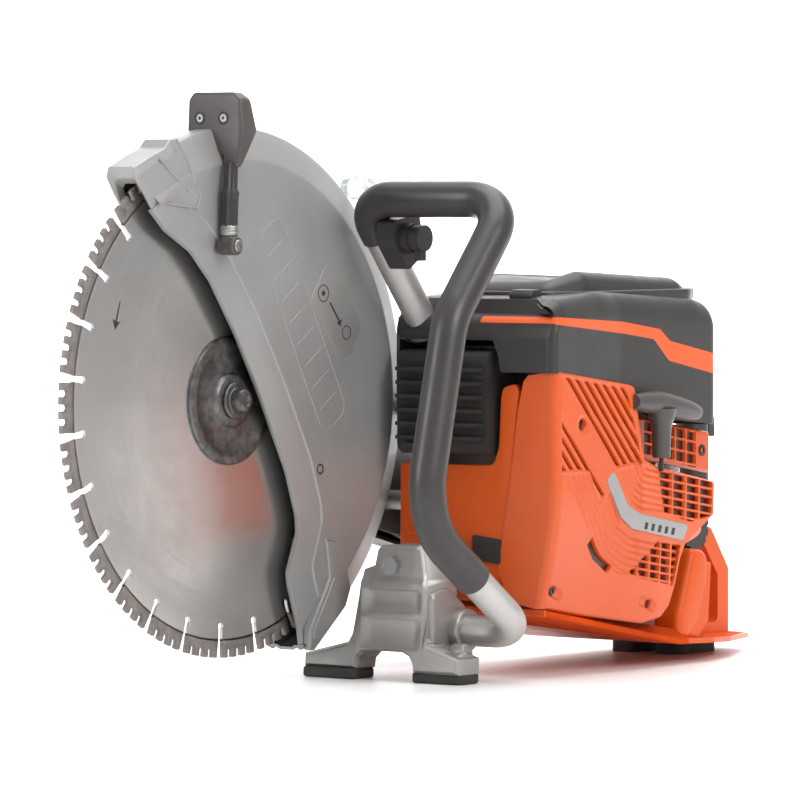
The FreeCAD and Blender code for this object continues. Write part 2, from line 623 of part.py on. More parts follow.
def rear_handle():
    """The loop handle on its bulkhead, with slots for the trigger and lockout and seats for the controls."""
    route = [(-438, MID_Y, 236), (-470, MID_Y, 246), (-540, MID_Y, 222), (-541, MID_Y, 120),
             (-505, MID_Y, 98)]
    hoop = tube(route, [30, 26, 16], 14)
    bulkhead = box(-460, -436, MID_Y - 34, MID_Y + 34, 128, 256)
    nose = box(-470, -440, MID_Y - 16, MID_Y + 16, 214, 256)
    heel = box(REAR_X, -552, MID_Y - 10, MID_Y + 10, 180, 196)
    body = joined([hoop, bulkhead, nose, heel]).cut(prism("Y", STAND_SIDE, 40, 106))
    body = body.cut(box(-519, -473, MID_Y - 5, MID_Y + 5, 205, 236))
    body = body.cut(box(-512, -468, MID_Y - 4.5, MID_Y + 4.5, 236, 270))
    body = body.cut(rod("Y", CONTROL_X, 225, 3.2, 84, 110))
    body = body.cut(box(CONTROL_X - 5.5, CONTROL_X + 5.5, 93, 110, 190, 202))
    return body.cut(rod("Y", CONTROL_X, 156, 11.3, 96, 110))


def throttle_trigger():
    plate = prism("Y", [(-478, 232), (-514, 219), (-512, 205), (-500, 197), (-488, 204), (-478, 214)],
                  MID_Y - 4.5, MID_Y + 4.5, 2)
    return plate.cut(rod("Y", -482, 226, 2, 0, 200))


def trigger_lockout():
    return prism("Y", [(-470.5, 240), (-508, 239), (-508, 246), (-490, 262), (-472, 262)],
                 MID_Y - 4, MID_Y + 4, 1.5)


def rear_feet():
    under = prism("Y", [(-372, 18), (-555, 10), (-555, 40), (-372, 40)], 0, 150)
    pads = [prism("Z", [(-525, y), (-465, y), (-465, y + 26), (-525, y + 26)], 0, 20, 8).cut(under)
            for y in (MID_Y - 33, MID_Y + 12)]
    return group(pads)


def vibration_springs():
    """Coil springs between the engine's lugs and the tank, each a stack of turns on a core."""
    springs = []
    for x, y, z in ((-342, 44, 76), (-342, 106, 76), (-242, 44, 65), (-242, 106, 65)):
        top = CRANK_Z - 34
        core = rod("Z", x, y, 6, z, top)
        coils = [ring("Z", x, y, 9, 5.5, z + 1 + 4 * i, z + 3 + 4 * i) for i in range(int((top - z) / 4))]
        springs.append(joined([core] + coils))
    return group(springs)


# Front support and front handle

def front_support():
    """The cast front stand: two feet, an arch between them and a block up to the engine."""
    front = [(-1, 8), (-1, 24), (38, 34), (46, 88), (62, 92), (64, 108), (104, 108), (110, 90), (112, 34),
             (148, 22), (148, 8), (98, 8), (94, 24), (52, 24), (46, 8)]
    slab = prism("X", front, -180, -106, 2)
    depth = prism("Y", [(-106, 8), (-112, 108), (-150, 108), (-150, 60), (-180, 34), (-180, 8)], -5, 155, 3)
    body = slab.common(depth)
    back = box(CRANK_X + 62, -150, 56, 100, 84, 104)
    boss = rod("Y", -150, 40, 17, 108, 132)
    boss_web = box(-162, -134, 100, 114, 26, 56)
    pocket = box(-140, -130, 64, 96, 40, 80)
    return joined([body, back, boss, boss_web]).cut(rod("Y", -150, 40, TUBE_R, 126, 140)).cut(pocket)


def front_feet():
    right = prism("Z", [(-102, -1), (-173, -1), (-173, 46), (-102, 46)], 0, 8, 6)
    left = prism("Z", [(-110, 98), (-184, 98), (-184, 148), (-110, 148)], 0, 8, 6)
    return group([right, left])


def front_handle_tube():
    return tube(HANDLE_ROUTE, HANDLE_BENDS, TUBE_R, TUBE_R - 2.5)


def front_handle_grip():
    start = vec(*HANDLE_ROUTE[0])
    heading = vec(*HANDLE_ROUTE[1]) - start
    low = vec(*HANDLE_ROUTE[4])
    run = vec(*HANDLE_ROUTE[5]) - low
    first = start + heading * 0.72
    last = low + run * 0.5
    route = [tuple(first)] + HANDLE_ROUTE[1:5] + [tuple(last)]
    return tube(route, HANDLE_BENDS[:4], GRIP_R, TUBE_R)


def handle_nut():
    """The nut on the sloping front of the stand."""
    slope = prism("Y", [(-106, 8), (-112, 108), (-150, 108), (-150, 8)], 0, 150)
    return prism("X", hexagon(80, 92, 8), -113, -105).cut(slope)


def tap_bracket():
    """Dark bracket under the right end of the handle, which holds the water tap."""
    body = prism("Y", [(-150, 372), (-118, 366), (-116, 350), (-136, 326), (-158, 340)], 58, 76, 4)
    cup = rod("Y", -134, 352, 12, 56, 84)
    return joined([body, cup]).cut(tube(HANDLE_ROUTE, HANDLE_BENDS, GRIP_R + 0.1))


def water_tap_knob():
    knob = rod("Y", -134, 352, 10.5, 84, 94)
    lever = box(-138, -130, 86, 92, 334, 352)
    return joined([knob, lever])


def water_coupling():
    """Clear coupling that takes the water hose."""
    body = rod("Y", -176, 392, 8, -18, 6)
    collar = rod("Y", -176, 392, 10, -10, 0)
    neck = tube([(-176, 4, 392), (-172, 34, 378), (-154, 66, 350)], [20], 5)
    return joined([body, collar, neck.cut(tap_bracket())])


def stop_switch():
    return prism("X", [(-4, -5), (4, -5), (4, 5), (-4, 5)], 0, 8, 1.5)


# Guard

def guard_profile(offset):
    r = GUARD_R - offset
    side = GUARD_SIDE_R - offset
    face = GUARD_FACE_Y - offset
    shoulder = GUARD_SHOULDER_Y
    return [(0, -face), (side, -face), (r, -shoulder), (r, shoulder), (side, face), (0, face)]


def guard_shell():
    outer = turned((0, SPINDLE_Z), guard_profile(0)).cut(box(-300, 300, -60, 60, -50, 12))
    nose = prism("Y", [(131, 408), (117, 413), (95, 423), (88, 429), (62, 430), (40, 400), (94, 359)],
                 -15, 17, 2)
    outer = joined([outer, nose])
    inner = turned((0, SPINDLE_Z), guard_profile(GUARD_WALL))
    opening = GUARD_LIP + [(-80, -60), (330, -60), (330, 399)]
    mouth = prism("Y", opening, -40, 40)
    hub = rod("Y", 0, SPINDLE_Z, 58, -40, -GUARD_FACE_Y + GUARD_WALL)
    shell = outer.cut(inner).cut(mouth.cut(hub))
    pocket = prism("Y", [(122, 404), (94, 419), (84, 424), (60, 424), (60, 380)], -12, 14)
    shell = shell.cut(pocket.cut(turned((0, SPINDLE_Z), guard_profile(GUARD_WALL)).cut(pocket)))
    shell = shell.cut(rod("Y", 0, SPINDLE_Z, HUB_R + 0.06, -40, 0))
    rib = prism("Y", [(-96, 118), (-110, 96), (-98, 62), (-104, 60), (-118, 96), (-102, 124)], 19, 23)
    return joined([shell, rib])


def guard_handle():
    """Upright paddle behind the nose; its left leg hangs over the guard's face and holds the hose."""
    side = [(31, 409), (27, 408), (13, 427), (9, 437), (17, 463), (20, 467), (27, 467), (30, 462), (30, 430)]
    front = [(-17, 434), (-17, 461), (-11, 467), (30, 467), (36, 462), (38, 436), (35, 408), (20.1, 408),
             (20.1, 434)]
    paddle = prism("Y", side, -20, 40, 1.5).common(prism("X", front, 0, 40, 2))
    rim = turned((0, SPINDLE_Z), guard_profile(0))
    return paddle.cut(rim)


def guard_hose():
    hose = tube([(29.5, 28, 412), (31.5, 28, 388), (32, 28, 363)], [60], 6.8)
    return hose.cut(guard_handle()).cut(spray_nozzle())


def spray_nozzle():
    """Silver ferrule and the black elbow that leads the water through the guard's face."""
    ferrule = rod("Z", 32, 28, 7, 355, 363)
    elbow = rod("Z", 32, 28, 7.4, 340, 355)
    mouth = rod("Y", 32, 347, 7.2, GUARD_FACE_Y, 37)
    screw = rod("Y", 32, 347, 4.7, 37, 38.5)
    return joined([ferrule, elbow, mouth, screw])


# Small controls

def choke_knob():
    stem = rod("Y", CONTROL_X, 225, 3, 96, 112)
    return joined([stem, rod("Y", CONTROL_X, 225, 9, 112, 120)])


def stop_switch():
    return prism("Y", [(CONTROL_X - 4.5, 191.5), (CONTROL_X + 4.5, 191.5), (CONTROL_X + 4.5, 200.5),
                       (CONTROL_X - 4.5, 200.5)], 99, 111, 1.5)


def purge_bulb():
    collar = rod("Y", CONTROL_X, 156, 11, 102, 110)
    dome = Part.makeSphere(11, vec(CONTROL_X, 110, 156)).common(box(-470, -430, 110, 130, 140, 180))
    return joined([collar, dome])


def decompression_valve():
    top = CRANK_Z + 52 + 84
    stem = rod("Z", CRANK_X + 20, MID_Y, 5, top - 3, top + 8)
    return joined([stem, rod("Z", CRANK_X + 20, MID_Y, 7.5, top + 8, top + 14)])


def fuel_cap():
    x, z = FILLER
    lid = rod("Y", x, z, 19, 140.3, 152)
    knurl = group([around(rod("Y", x + 19, z, 2, 140, 153), x, z, 30 * i) for i in range(12)])
    return joined([lid.cut(knurl), rod("Y", x, z, 11.7, 130, 140.3)])


def ignition_module():
    legs = box(CRANK_X - 20, CRANK_X + 20, 126, 134, CRANK_Z + 56.5, CRANK_Z + 66)
    coil = box(CRANK_X - 16, CRANK_X + 16, 122, 138, CRANK_Z + 66, CRANK_Z + 84)
    return joined([legs, coil])


NODES = {
    "blade_core": blade_core,
    "blade_segments": blade_segments,
    "outer_flange": outer_flange,
    "inner_flange": inner_flange,
    "spindle": spindle,
    "spindle_bolt": spindle_bolt,
    "spindle_pulley": spindle_pulley,
    "drive_belt": drive_belt,
    "cutting_arm": cutting_arm,
    "spindle_bearings": spindle_bearings,
    "belt_guard": belt_guard,
    "arm_nuts": arm_nuts,
    "crankcase_right": crankcase_right,
    "crankcase_left": crankcase_left,
    "crank_bearings": crank_bearings,
    "crankshaft": crankshaft,
    "flywheel": flywheel,
    "clutch_shoes": clutch_shoes,
    "clutch_drum": clutch_drum,
    "piston": piston,
    "connecting_rod": connecting_rod,
    "cylinder": cylinder,
    "spark_plug": spark_plug,
    "decompression_valve": decompression_valve,
    "muffler": muffler,
    "carburettor": carburettor,
    "intake_boot": intake_boot,
    "air_filter": air_filter,
    "ignition_module": ignition_module,
    "top_cowl": top_cowl,
    "filter_cover": filter_cover,
    "starter_cover": starter_cover,
    "front_panel": front_panel,
    "rating_plate": rating_plate,
    "cover_screws": cover_screws,
    "starter_reel": starter_reel,
    "recoil_spring": recoil_spring,
    "pull_handle": pull_handle,
    "fuel_tank": fuel_tank,
    "fuel_cap": fuel_cap,
    "rear_handle": rear_handle,
    "throttle_trigger": throttle_trigger,
    "trigger_lockout": trigger_lockout,
    "choke_knob": choke_knob,
    "stop_switch": stop_switch,
    "purge_bulb": purge_bulb,
    "rear_feet": rear_feet,
    "vibration_springs": vibration_springs,
    "front_support": front_support,
    "front_feet": front_feet,
    "front_handle_tube": front_handle_tube,
    "front_handle_grip": front_handle_grip,
    "handle_nut": handle_nut,
    "tap_bracket": tap_bracket,
    "water_tap_knob": water_tap_knob,
    "water_coupling": water_coupling,
    "guard_shell": guard_shell,
    "guard_handle": guard_handle,
    "guard_hose": guard_hose,
    "spray_nozzle": spray_nozzle,
}


def build():
    """Every node's shape, in the written frame."""
    shapes = {}
    for name, make in NODES.items():
        shape = make()
        shape.translate(-ORIGIN)
        shapes[name] = shape
    return shapes


def main():
    os.makedirs("parts", exist_ok=True)
    for name, shape in build().items():
        shape.exportStep("parts/" + name + ".step")


main()
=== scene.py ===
import json
import logging
import math
from dataclasses import dataclass
from enum import Enum
from typing import Iterable, Optional, Sequence

import bmesh
import bpy
import numpy as np
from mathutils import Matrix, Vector


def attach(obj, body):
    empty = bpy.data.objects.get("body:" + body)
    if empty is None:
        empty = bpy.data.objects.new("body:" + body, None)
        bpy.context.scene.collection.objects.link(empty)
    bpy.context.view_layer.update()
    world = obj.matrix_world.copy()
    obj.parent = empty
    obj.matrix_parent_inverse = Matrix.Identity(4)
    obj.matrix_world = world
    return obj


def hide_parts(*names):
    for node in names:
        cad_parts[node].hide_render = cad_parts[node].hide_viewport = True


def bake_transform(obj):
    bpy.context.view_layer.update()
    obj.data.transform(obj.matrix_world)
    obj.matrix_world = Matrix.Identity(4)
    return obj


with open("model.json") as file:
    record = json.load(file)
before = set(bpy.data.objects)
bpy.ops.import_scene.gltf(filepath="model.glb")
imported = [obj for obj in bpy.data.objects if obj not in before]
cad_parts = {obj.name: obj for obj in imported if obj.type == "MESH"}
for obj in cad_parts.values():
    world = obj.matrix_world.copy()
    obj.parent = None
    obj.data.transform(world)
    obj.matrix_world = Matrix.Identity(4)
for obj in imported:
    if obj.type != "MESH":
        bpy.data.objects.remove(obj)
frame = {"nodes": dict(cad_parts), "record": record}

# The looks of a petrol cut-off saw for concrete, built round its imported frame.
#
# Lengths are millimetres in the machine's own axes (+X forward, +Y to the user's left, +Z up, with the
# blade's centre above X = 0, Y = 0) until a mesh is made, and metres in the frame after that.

LOG = logging.getLogger("cut_off_saw")
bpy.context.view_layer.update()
JOINTS = {joint["name"]: joint for joint in frame["record"]["behaviour"]["joints"]}
SPINDLE = np.array(JOINTS["blade_spin"]["pos_m"])
SPINDLE_Z = SPINDLE[2] * 1000.0
ORIGIN = np.array([SPINDLE[0], SPINDLE[1], 0.0])
Points = np.ndarray
Colour = tuple[float, float, float]
MM = 0.001


class Axis(Enum):
    """The axis that a shape is pulled along or turned round."""

    X = 0
    Y = 1
    Z = 2

    def place(self, a: Points, b: Points, along: Points) -> Points:
        """Points with `along` on this axis, and a and b on the two others in X, Y, Z order."""
        parts = [a, b]
        parts.insert(self.value, along)
        return np.stack(parts, axis=-1)


def to_frame(points: Points) -> Points:
    """Machine millimetres to frame metres.

    Args:
        points: any array whose last axis is x, y, z in millimetres.

    Returns:
        The same array in the frame's metres.
    """
    return np.asarray(points, dtype=float) * MM + ORIGIN


def smooth_step(low: float, high: float, value: Points) -> Points:
    """A ramp from 0 at low to 1 at high with level ends: t * t * (3 - 2 t)."""
    t = np.clip((value - low) / (high - low), 0.0, 1.0)
    return t * t * (3.0 - 2.0 * t)


# Mesh shapes ------------------------------------------------------------------------------------

def grid_faces(rows: int, cols: int, wrap_rows: bool = False, wrap_cols: bool = False) -> Points:
    """Quads over a grid of rows x cols points.

    Args:
        rows: number of points along the first parameter.
        cols: number of points along the second parameter.
        wrap_rows: joins the last row to the first.
        wrap_cols: joins the last column to the first.

    Returns:
        An (n, 4) array of point indices.
    """
    i = np.arange(rows if wrap_rows else rows - 1)[:, None]
    j = np.arange(cols if wrap_cols else cols - 1)[None, :]
    i2 = (i + 1) % rows
    j2 = (j + 1) % cols
    corners = (i * cols + j, i2 * cols + j, i2 * cols + j2, i * cols + j2)
    return np.stack([np.broadcast_to(c, (i.size, j.size)).ravel() for c in corners], axis=1)


@dataclass
class Shell:
    """Points and faces of one mesh under construction, in machine millimetres."""

    points: Points
    faces: list[list[int]]

    def __add__(self, other: "Shell") -> "Shell":
        """Both shells in one mesh, unjoined."""
        shift = len(self.points)
        moved = [[k + shift for k in face] for face in other.faces]
        return Shell(np.vstack([self.points, other.points]), self.faces + moved)


def combined(shells: Iterable[Shell]) -> Shell:
    """All the shells in one mesh."""
    result: Optional[Shell] = None
    for shell in shells:
        result = shell if result is None else result + shell
    assert result is not None
    return result


def slab(front: Points, back: Points) -> Shell:
    """A closed solid between two grids of the same size, joined round their four sides.

    Args:
        front: (rows, cols, 3) points of the outer surface.
        back: (rows, cols, 3) points of the inner surface.

    Returns:
        The closed shell: both grids and a strip round the edge.
    """
    rows, cols = front.shape[:2]
    count = rows * cols
    quads = grid_faces(rows, cols)
    index = np.arange(count).reshape(rows, cols)
    loop = np.concatenate([index[0, :], index[1:, -1], index[-1, -2::-1], index[-2:0:-1, 0]])
    after = np.roll(loop, -1)
    rim = np.stack([loop, after, after + count, loop + count], axis=1)
    faces = np.vstack([quads, quads[:, ::-1] + count, rim])
    return Shell(np.vstack([front.reshape(-1, 3), back.reshape(-1, 3)]), faces.tolist())


def corner_arc(before: Points, corner: Points, after: Points, radius: float, steps: int) -> Points:
    """Points on the arc that rounds one corner of an outline.

    The arc touches both sides at radius / tan(half the corner's angle) from the corner, and its centre
    lies on the corner's bisector at radius / sin(half the angle).
    """
    to_before = (before - corner) / np.linalg.norm(before - corner)
    to_after = (after - corner) / np.linalg.norm(after - corner)
    half = 0.5 * math.acos(float(np.clip(to_before @ to_after, -1, 1)))
    if radius <= 0 or half > math.pi / 2 - 1e-3:
        return corner[None, :]
    start = corner + to_before * radius / math.tan(half)
    end = corner + to_after * radius / math.tan(half)
    middle = (to_before + to_after) / np.linalg.norm(to_before + to_after)
    centre = corner + middle * radius / math.sin(half)
    sweep = math.pi - 2 * half
    t = np.linspace(0, 1, steps)[:, None]
    a, b = start - centre, end - centre
    return centre + (a * np.sin((1 - t) * sweep) + b * np.sin(t * sweep)) / math.sin(sweep)


def rounded(points: Sequence[Sequence[float]], radii: Sequence[float] | float, closed: bool = True,
            steps: int = 7) -> Points:
    """An outline or path with its corners turned into arcs.

    Args:
        points: the corners.
        radii: one radius for all corners, or one for each.
        closed: whether the last corner joins the first.
        steps: points on each arc.

    Returns:
        The rounded points, (n, 2) or (n, 3).
    """
    corners = np.asarray(points, dtype=float)
    count = len(corners)
    sizes = [float(radii)] * count if isinstance(radii, (int, float)) else list(radii)
    parts = []
    for k in range(count):
        if not closed and k in (0, count - 1):
            parts.append(corners[k][None, :])
            continue
        parts.append(corner_arc(corners[k - 1], corners[k], corners[(k + 1) % count], sizes[k], steps))
    return np.vstack(parts)


def resampled(path: Points, step: float) -> Points:
    """Points about `step` apart along a path, by linear interpolation over its length."""
    length = np.concatenate([[0.0], np.cumsum(np.linalg.norm(np.diff(path, axis=0), axis=1))])
    wanted = np.linspace(0.0, length[-1], max(3, int(length[-1] / step) + 1))
    return np.stack([np.interp(wanted, length, path[:, k]) for k in range(path.shape[1])], axis=1)


def lift(axis: Axis, flat: Points, along: float) -> Points:
    """Flat points (a, b) across an axis, placed at `along` on it."""
    return axis.place(flat[:, 0], flat[:, 1], np.full(len(flat), float(along)))


def outline_normals(flat: Points) -> Points:
    """Outward normals of a closed outline, from its neighbours' direction, scaled for mitred corners."""
    after = np.roll(flat, -1, axis=0) - flat
    before = flat - np.roll(flat, 1, axis=0)
    after /= np.maximum(np.linalg.norm(after, axis=1, keepdims=True), 1e-9)
    before /= np.maximum(np.linalg.norm(before, axis=1, keepdims=True), 1e-9)
    n1 = np.stack([after[:, 1], -after[:, 0]], axis=1)
    n2 = np.stack([before[:, 1], -before[:, 0]], axis=1)
    total = n1 + n2
    size = np.maximum(np.sum(total * n1, axis=1, keepdims=True), 0.5)
    x, y = flat[:, 0], flat[:, 1]
    area = np.sum(x * np.roll(y, -1) - np.roll(x, -1) * y)
    return total / size * (1.0 if area > 0 else -1.0)


def plate(axis: Axis, outline: Sequence[Sequence[float]] | Points, low: float, high: float,
          corner: Sequence[float] | float = 0.0, edge: float = 0.6, steps: int = 3,
          corner_steps: int = 7, taper: float = 0.0) -> Shell:
    """An outline pulled along an axis, with quarter-round edges.

    Each edge is a run of rings: the outline drawn in by edge * (1 - cos) while it rises by edge * sin.

    Args:
        axis: the axis that the outline is pulled along.
        outline: corners of the outline in the two other axes, in X, Y, Z order.
        low: start along the axis.
        high: end along the axis.
        corner: radius or radii of the outline's corners.
        edge: radius of the edges at both ends.
        steps: rings on each edge.
        corner_steps: points on each corner's arc.
        taper: how much the outline is drawn in at the high end.

    Returns:
        A closed shell.
    """
    flat = rounded(outline, corner, steps=corner_steps)
    normal = outline_normals(flat)
    turn = np.linspace(0, math.pi / 2, steps + 1)
    inset = edge * (1 - np.sin(turn))
    rise = edge * (1 - np.cos(turn))
    levels = [(low + r, i) for r, i in zip(rise, inset)]
    levels += [(high - r, i) for r, i in zip(rise[::-1], inset[::-1])]
    rings = []
    for along, inward in levels:
        share = (along - low) / (high - low)
        rings.append(lift(axis, flat - normal * (inward + taper * share), along))
    count = len(flat)
    faces = grid_faces(len(rings), count, wrap_cols=True).tolist()
    faces.append(list(range(count))[::-1])
    faces.append([k + (len(rings) - 1) * count for k in range(count)])
    return Shell(np.vstack(rings), faces)


def lathe(axis: Axis, centre: tuple[float, float], profile: Sequence[Sequence[float]] | Points,
          sides: int = 64, closed: bool = True) -> Shell:
    """A profile of (radius, along) points turned round an axis.

    Args:
        axis: the turning axis.
        centre: where it passes, in the two other axes.
        profile: the profile; an open one starts and ends on the axis.
        sides: steps round the axis.
        closed: whether the profile is a loop, as for a ring.

    Returns:
        The turned shell.
    """
    line = np.asarray(profile, dtype=float)
    angle = np.linspace(0, 2 * math.pi, sides, endpoint=False)
    a = centre[0] + line[:, None, 0] * np.cos(angle)[None, :]
    b = centre[1] + line[:, None, 0] * np.sin(angle)[None, :]
    grid = axis.place(a, b, np.broadcast_to(line[:, None, 1], a.shape))
    return Shell(grid.reshape(-1, 3), grid_faces(len(line), sides, closed, True).tolist())


def knob(axis: Axis, centre: tuple[float, float], radius: float, low: float, high: float, edge: float = 0.6,
         sides: int = 48) -> Shell:
    """A disc with rounded edges."""
    arc = np.linspace(0, math.pi / 2, 4)
    bottom = [(radius - edge + edge * math.sin(t), low + edge - edge * math.cos(t)) for t in arc]
    top = [(radius - edge + edge * math.cos(t), high - edge + edge * math.sin(t)) for t in arc]
    return lathe(axis, centre, [(0.0, low)] + bottom + top + [(0.0, high)], sides, closed=False)


def tube(path: Points, radius: Points | float, sides: int = 32,
         reference: Sequence[float] = (0.9, 0.3, 0.3)) -> Shell:
    """A round tube along a path.

    Each ring lies across the path's direction T, on the axes N (the reference less its part along T) and
    B = T x N.

    Args:
        path: (n, 3) points.
        radius: one radius or one for each point.
        sides: points on each ring.
        reference: a direction that the path never takes.

    Returns:
        The closed tube.
    """
    tangent = np.gradient(path, axis=0)
    tangent /= np.linalg.norm(tangent, axis=1, keepdims=True)
    ref = np.asarray(reference, dtype=float)
    normal = ref - tangent * (tangent @ ref)[:, None]
    normal /= np.linalg.norm(normal, axis=1, keepdims=True)
    side = np.cross(tangent, normal)
    angle = np.linspace(0, 2 * math.pi, sides, endpoint=False)
    around = normal[:, None, :] * np.cos(angle)[None, :, None] + side[:, None, :] * np.sin(angle)[None, :,
                                                                                                  None]
    size = np.broadcast_to(np.asarray(radius, dtype=float), (len(path),))
    outer = path[:, None, :] + around * size[:, None, None]
    centre = np.stack([path[0], path[-1]])[:, None, :].repeat(sides, axis=1)
    rings = np.concatenate([centre[:1], outer, centre[1:]], axis=0)
    return Shell(rings.reshape(-1, 3), grid_faces(len(rings), sides, False, True).tolist())


def signed_distance(flat: Points, polygon: Sequence[Sequence[float]]) -> Points:
    """How far points lie inside a polygon.

    The distance to each side is that of the nearest point on it, and the least counts. A point is inside
    when a ray along the first axis crosses the sides an odd number of times.

    Args:
        flat: (..., 2) points.
        polygon: the corners.

    Returns:
        Millimetres, above zero inside.
    """
    corners = np.asarray(polygon, dtype=float)
    nearest = np.full(flat.shape[:-1], 1e9)
    inside = np.zeros(flat.shape[:-1], dtype=bool)
    for first, second in zip(corners, np.roll(corners, -1, axis=0)):
        side = second - first
        offset = flat - first
        t = np.clip((offset @ side) / (side @ side), 0, 1)
        nearest = np.minimum(nearest, np.linalg.norm(offset - t[..., None] * side, axis=-1))
        crosses = (first[1] > flat[..., 1]) != (second[1] > flat[..., 1])
        rise = side[1] if side[1] != 0 else 1e-9
        inside ^= crosses & (flat[..., 0] < first[0] + (flat[..., 1] - first[1]) * side[0] / rise)
    return np.where(inside, nearest, -nearest)


def path_distance(flat: Points, path: Sequence[Sequence[float]]) -> Points:
    """Distance from points to an open path."""
    line = np.asarray(path, dtype=float)
    nearest = np.full(flat.shape[:-1], 1e9)
    for first, second in zip(line[:-1], line[1:]):
        side = second - first
        offset = flat - first
        t = np.clip((offset @ side) / (side @ side), 0, 1)
        nearest = np.minimum(nearest, np.linalg.norm(offset - t[..., None] * side, axis=-1))
    return nearest


def attribute(made: bpy.types.Object, name: str, values: Points) -> None:
    """Stores one number for each vertex, read by the finish."""
    layer = made.data.attributes.new(name, "FLOAT", "POINT")
    layer.data.foreach_set("value", np.asarray(values, dtype=np.float32).ravel())


# Finishes ---------------------------------------------------------------------------------------

class Graph:
    """Builds one material's nodes."""

    def __init__(self, name: str) -> None:
        """Starts an empty node tree with an output and a shader."""
        self.material = bpy.data.materials.new(name)
        self.material.use_nodes = True
        self.nodes = self.material.node_tree.nodes
        self.links = self.material.node_tree.links
        self.nodes.clear()
        self.output = self.nodes.new("ShaderNodeOutputMaterial")
        self.shader = self.nodes.new("ShaderNodeBsdfPrincipled")
        self.link(self.shader.outputs["BSDF"], self.output.inputs["Surface"])
        self.place = self.nodes.new("ShaderNodeTexCoord").outputs["Object"]

    def link(self, source: bpy.types.NodeSocket, target: bpy.types.NodeSocket) -> None:
        """Joins two sockets."""
        self.links.new(source, target)

    def node(self, kind: str, **values: object) -> bpy.types.Node:
        """A new node with its properties set."""
        made = self.nodes.new(kind)
        for key, value in values.items():
            setattr(made, key, value)
        return made

    def put(self, made: bpy.types.Node, **values: object) -> bpy.types.Node:
        """Sets or joins a node's inputs, by name with spaces as underscores."""
        for key, value in values.items():
            socket = made.inputs[key.replace("_", " ")]
            if isinstance(value, bpy.types.NodeSocket):
                self.link(value, socket)
            else:
                socket.default_value = value
        return made

    def noise(self, scale: float, detail: float = 4.0, roughness: float = 0.55) -> bpy.types.NodeSocket:
        """Fractal noise over the piece, from about 0 to 1."""
        made = self.node("ShaderNodeTexNoise")
        self.put(made, Scale=scale, Detail=detail, Roughness=roughness, Vector=self.place)
        return made.outputs["Fac"]

    def ranged(self, value: bpy.types.NodeSocket, low: float, high: float, start: float = 0.3,
               end: float = 0.7) -> bpy.types.NodeSocket:
        """A value mapped from start..end to low..high and held there."""
        made = self.node("ShaderNodeMapRange")
        self.put(made, Value=value, From_Min=start, From_Max=end, To_Min=low, To_Max=high)
        return made.outputs["Result"]

    def mixed(self, share: bpy.types.NodeSocket, first: Colour | bpy.types.NodeSocket,
              second: Colour | bpy.types.NodeSocket) -> bpy.types.NodeSocket:
        """A colour between two colours."""
        made = self.node("ShaderNodeMix", data_type="RGBA")
        self.link(share, made.inputs["Factor"])
        for socket, value in ((made.inputs[6], first), (made.inputs[7], second)):
            if isinstance(value, bpy.types.NodeSocket):
                self.link(value, socket)
            else:
                socket.default_value = (*value, 1.0)
        return made.outputs[2]

    def maths(self, operation: str, first: bpy.types.NodeSocket | float,
              second: bpy.types.NodeSocket | float = 0.0) -> bpy.types.NodeSocket:
        """One arithmetic step."""
        made = self.node("ShaderNodeMath", operation=operation)
        for socket, value in zip(made.inputs, (first, second)):
            if isinstance(value, bpy.types.NodeSocket):
                self.link(value, socket)
            else:
                socket.default_value = value
        return made.outputs["Value"]

    def bump(self, height: bpy.types.NodeSocket, distance: float, strength: float = 1.0,
             under: Optional[bpy.types.NodeSocket] = None) -> bpy.types.NodeSocket:
        """A bumped normal; distance is in metres."""
        made = self.node("ShaderNodeBump")
        self.put(made, Height=height, Distance=distance, Strength=strength)
        if under is not None:
            self.link(under, made.inputs["Normal"])
        return made.outputs["Normal"]


@dataclass(frozen=True)
class Finish:
    """A surface: two close colours mixed by noise, roughness that varies, and a grain.

    Attributes:
        name: the material's name.
        colour: the main colour, linear.
        shade: the colour that it drifts to.
        rough: least and most roughness.
        metal: metallic share.
        grain_mm: size of the grain.
        grain_depth_mm: depth of the grain.
        drift_mm: size of the colour drift.
        coat: clear coat weight.
        shine: how strongly the surface mirrors, with 0.5 for common plastic.
    """

    name: str
    colour: Colour
    shade: Colour
    rough: tuple[float, float] = (0.35, 0.5)
    metal: float = 0.0
    grain_mm: float = 1.2
    grain_depth_mm: float = 0.02
    drift_mm: float = 60.0
    coat: float = 0.0
    shine: float = 0.5

    def build(self) -> bpy.types.Material:
        """The material."""
        graph = Graph(self.name)
        drift = graph.noise(1000.0 / self.drift_mm, 5.0)
        fine = graph.noise(1000.0 / self.grain_mm, 2.0)
        smudge = graph.noise(1000.0 / (self.drift_mm * 0.35), 6.0, roughness=0.65)
        colour = graph.mixed(graph.ranged(drift, 0.0, 1.0), self.colour, self.shade)
        rough = graph.ranged(smudge, self.rough[0], self.rough[1])
        graph.put(graph.shader, Base_Color=colour, Roughness=rough)
        graph.shader.inputs["Metallic"].default_value = self.metal
        graph.shader.inputs["Coat Weight"].default_value = self.coat
        graph.shader.inputs["Specular IOR Level"].default_value = self.shine
        self.add_grain(graph, fine)
        return graph.material

    def add_grain(self, graph: Graph, fine: bpy.types.NodeSocket) -> None:
        """Bump from the fine noise."""
        depth = self.grain_depth_mm * MM
        graph.put(graph.shader, Normal=graph.bump(fine, depth))


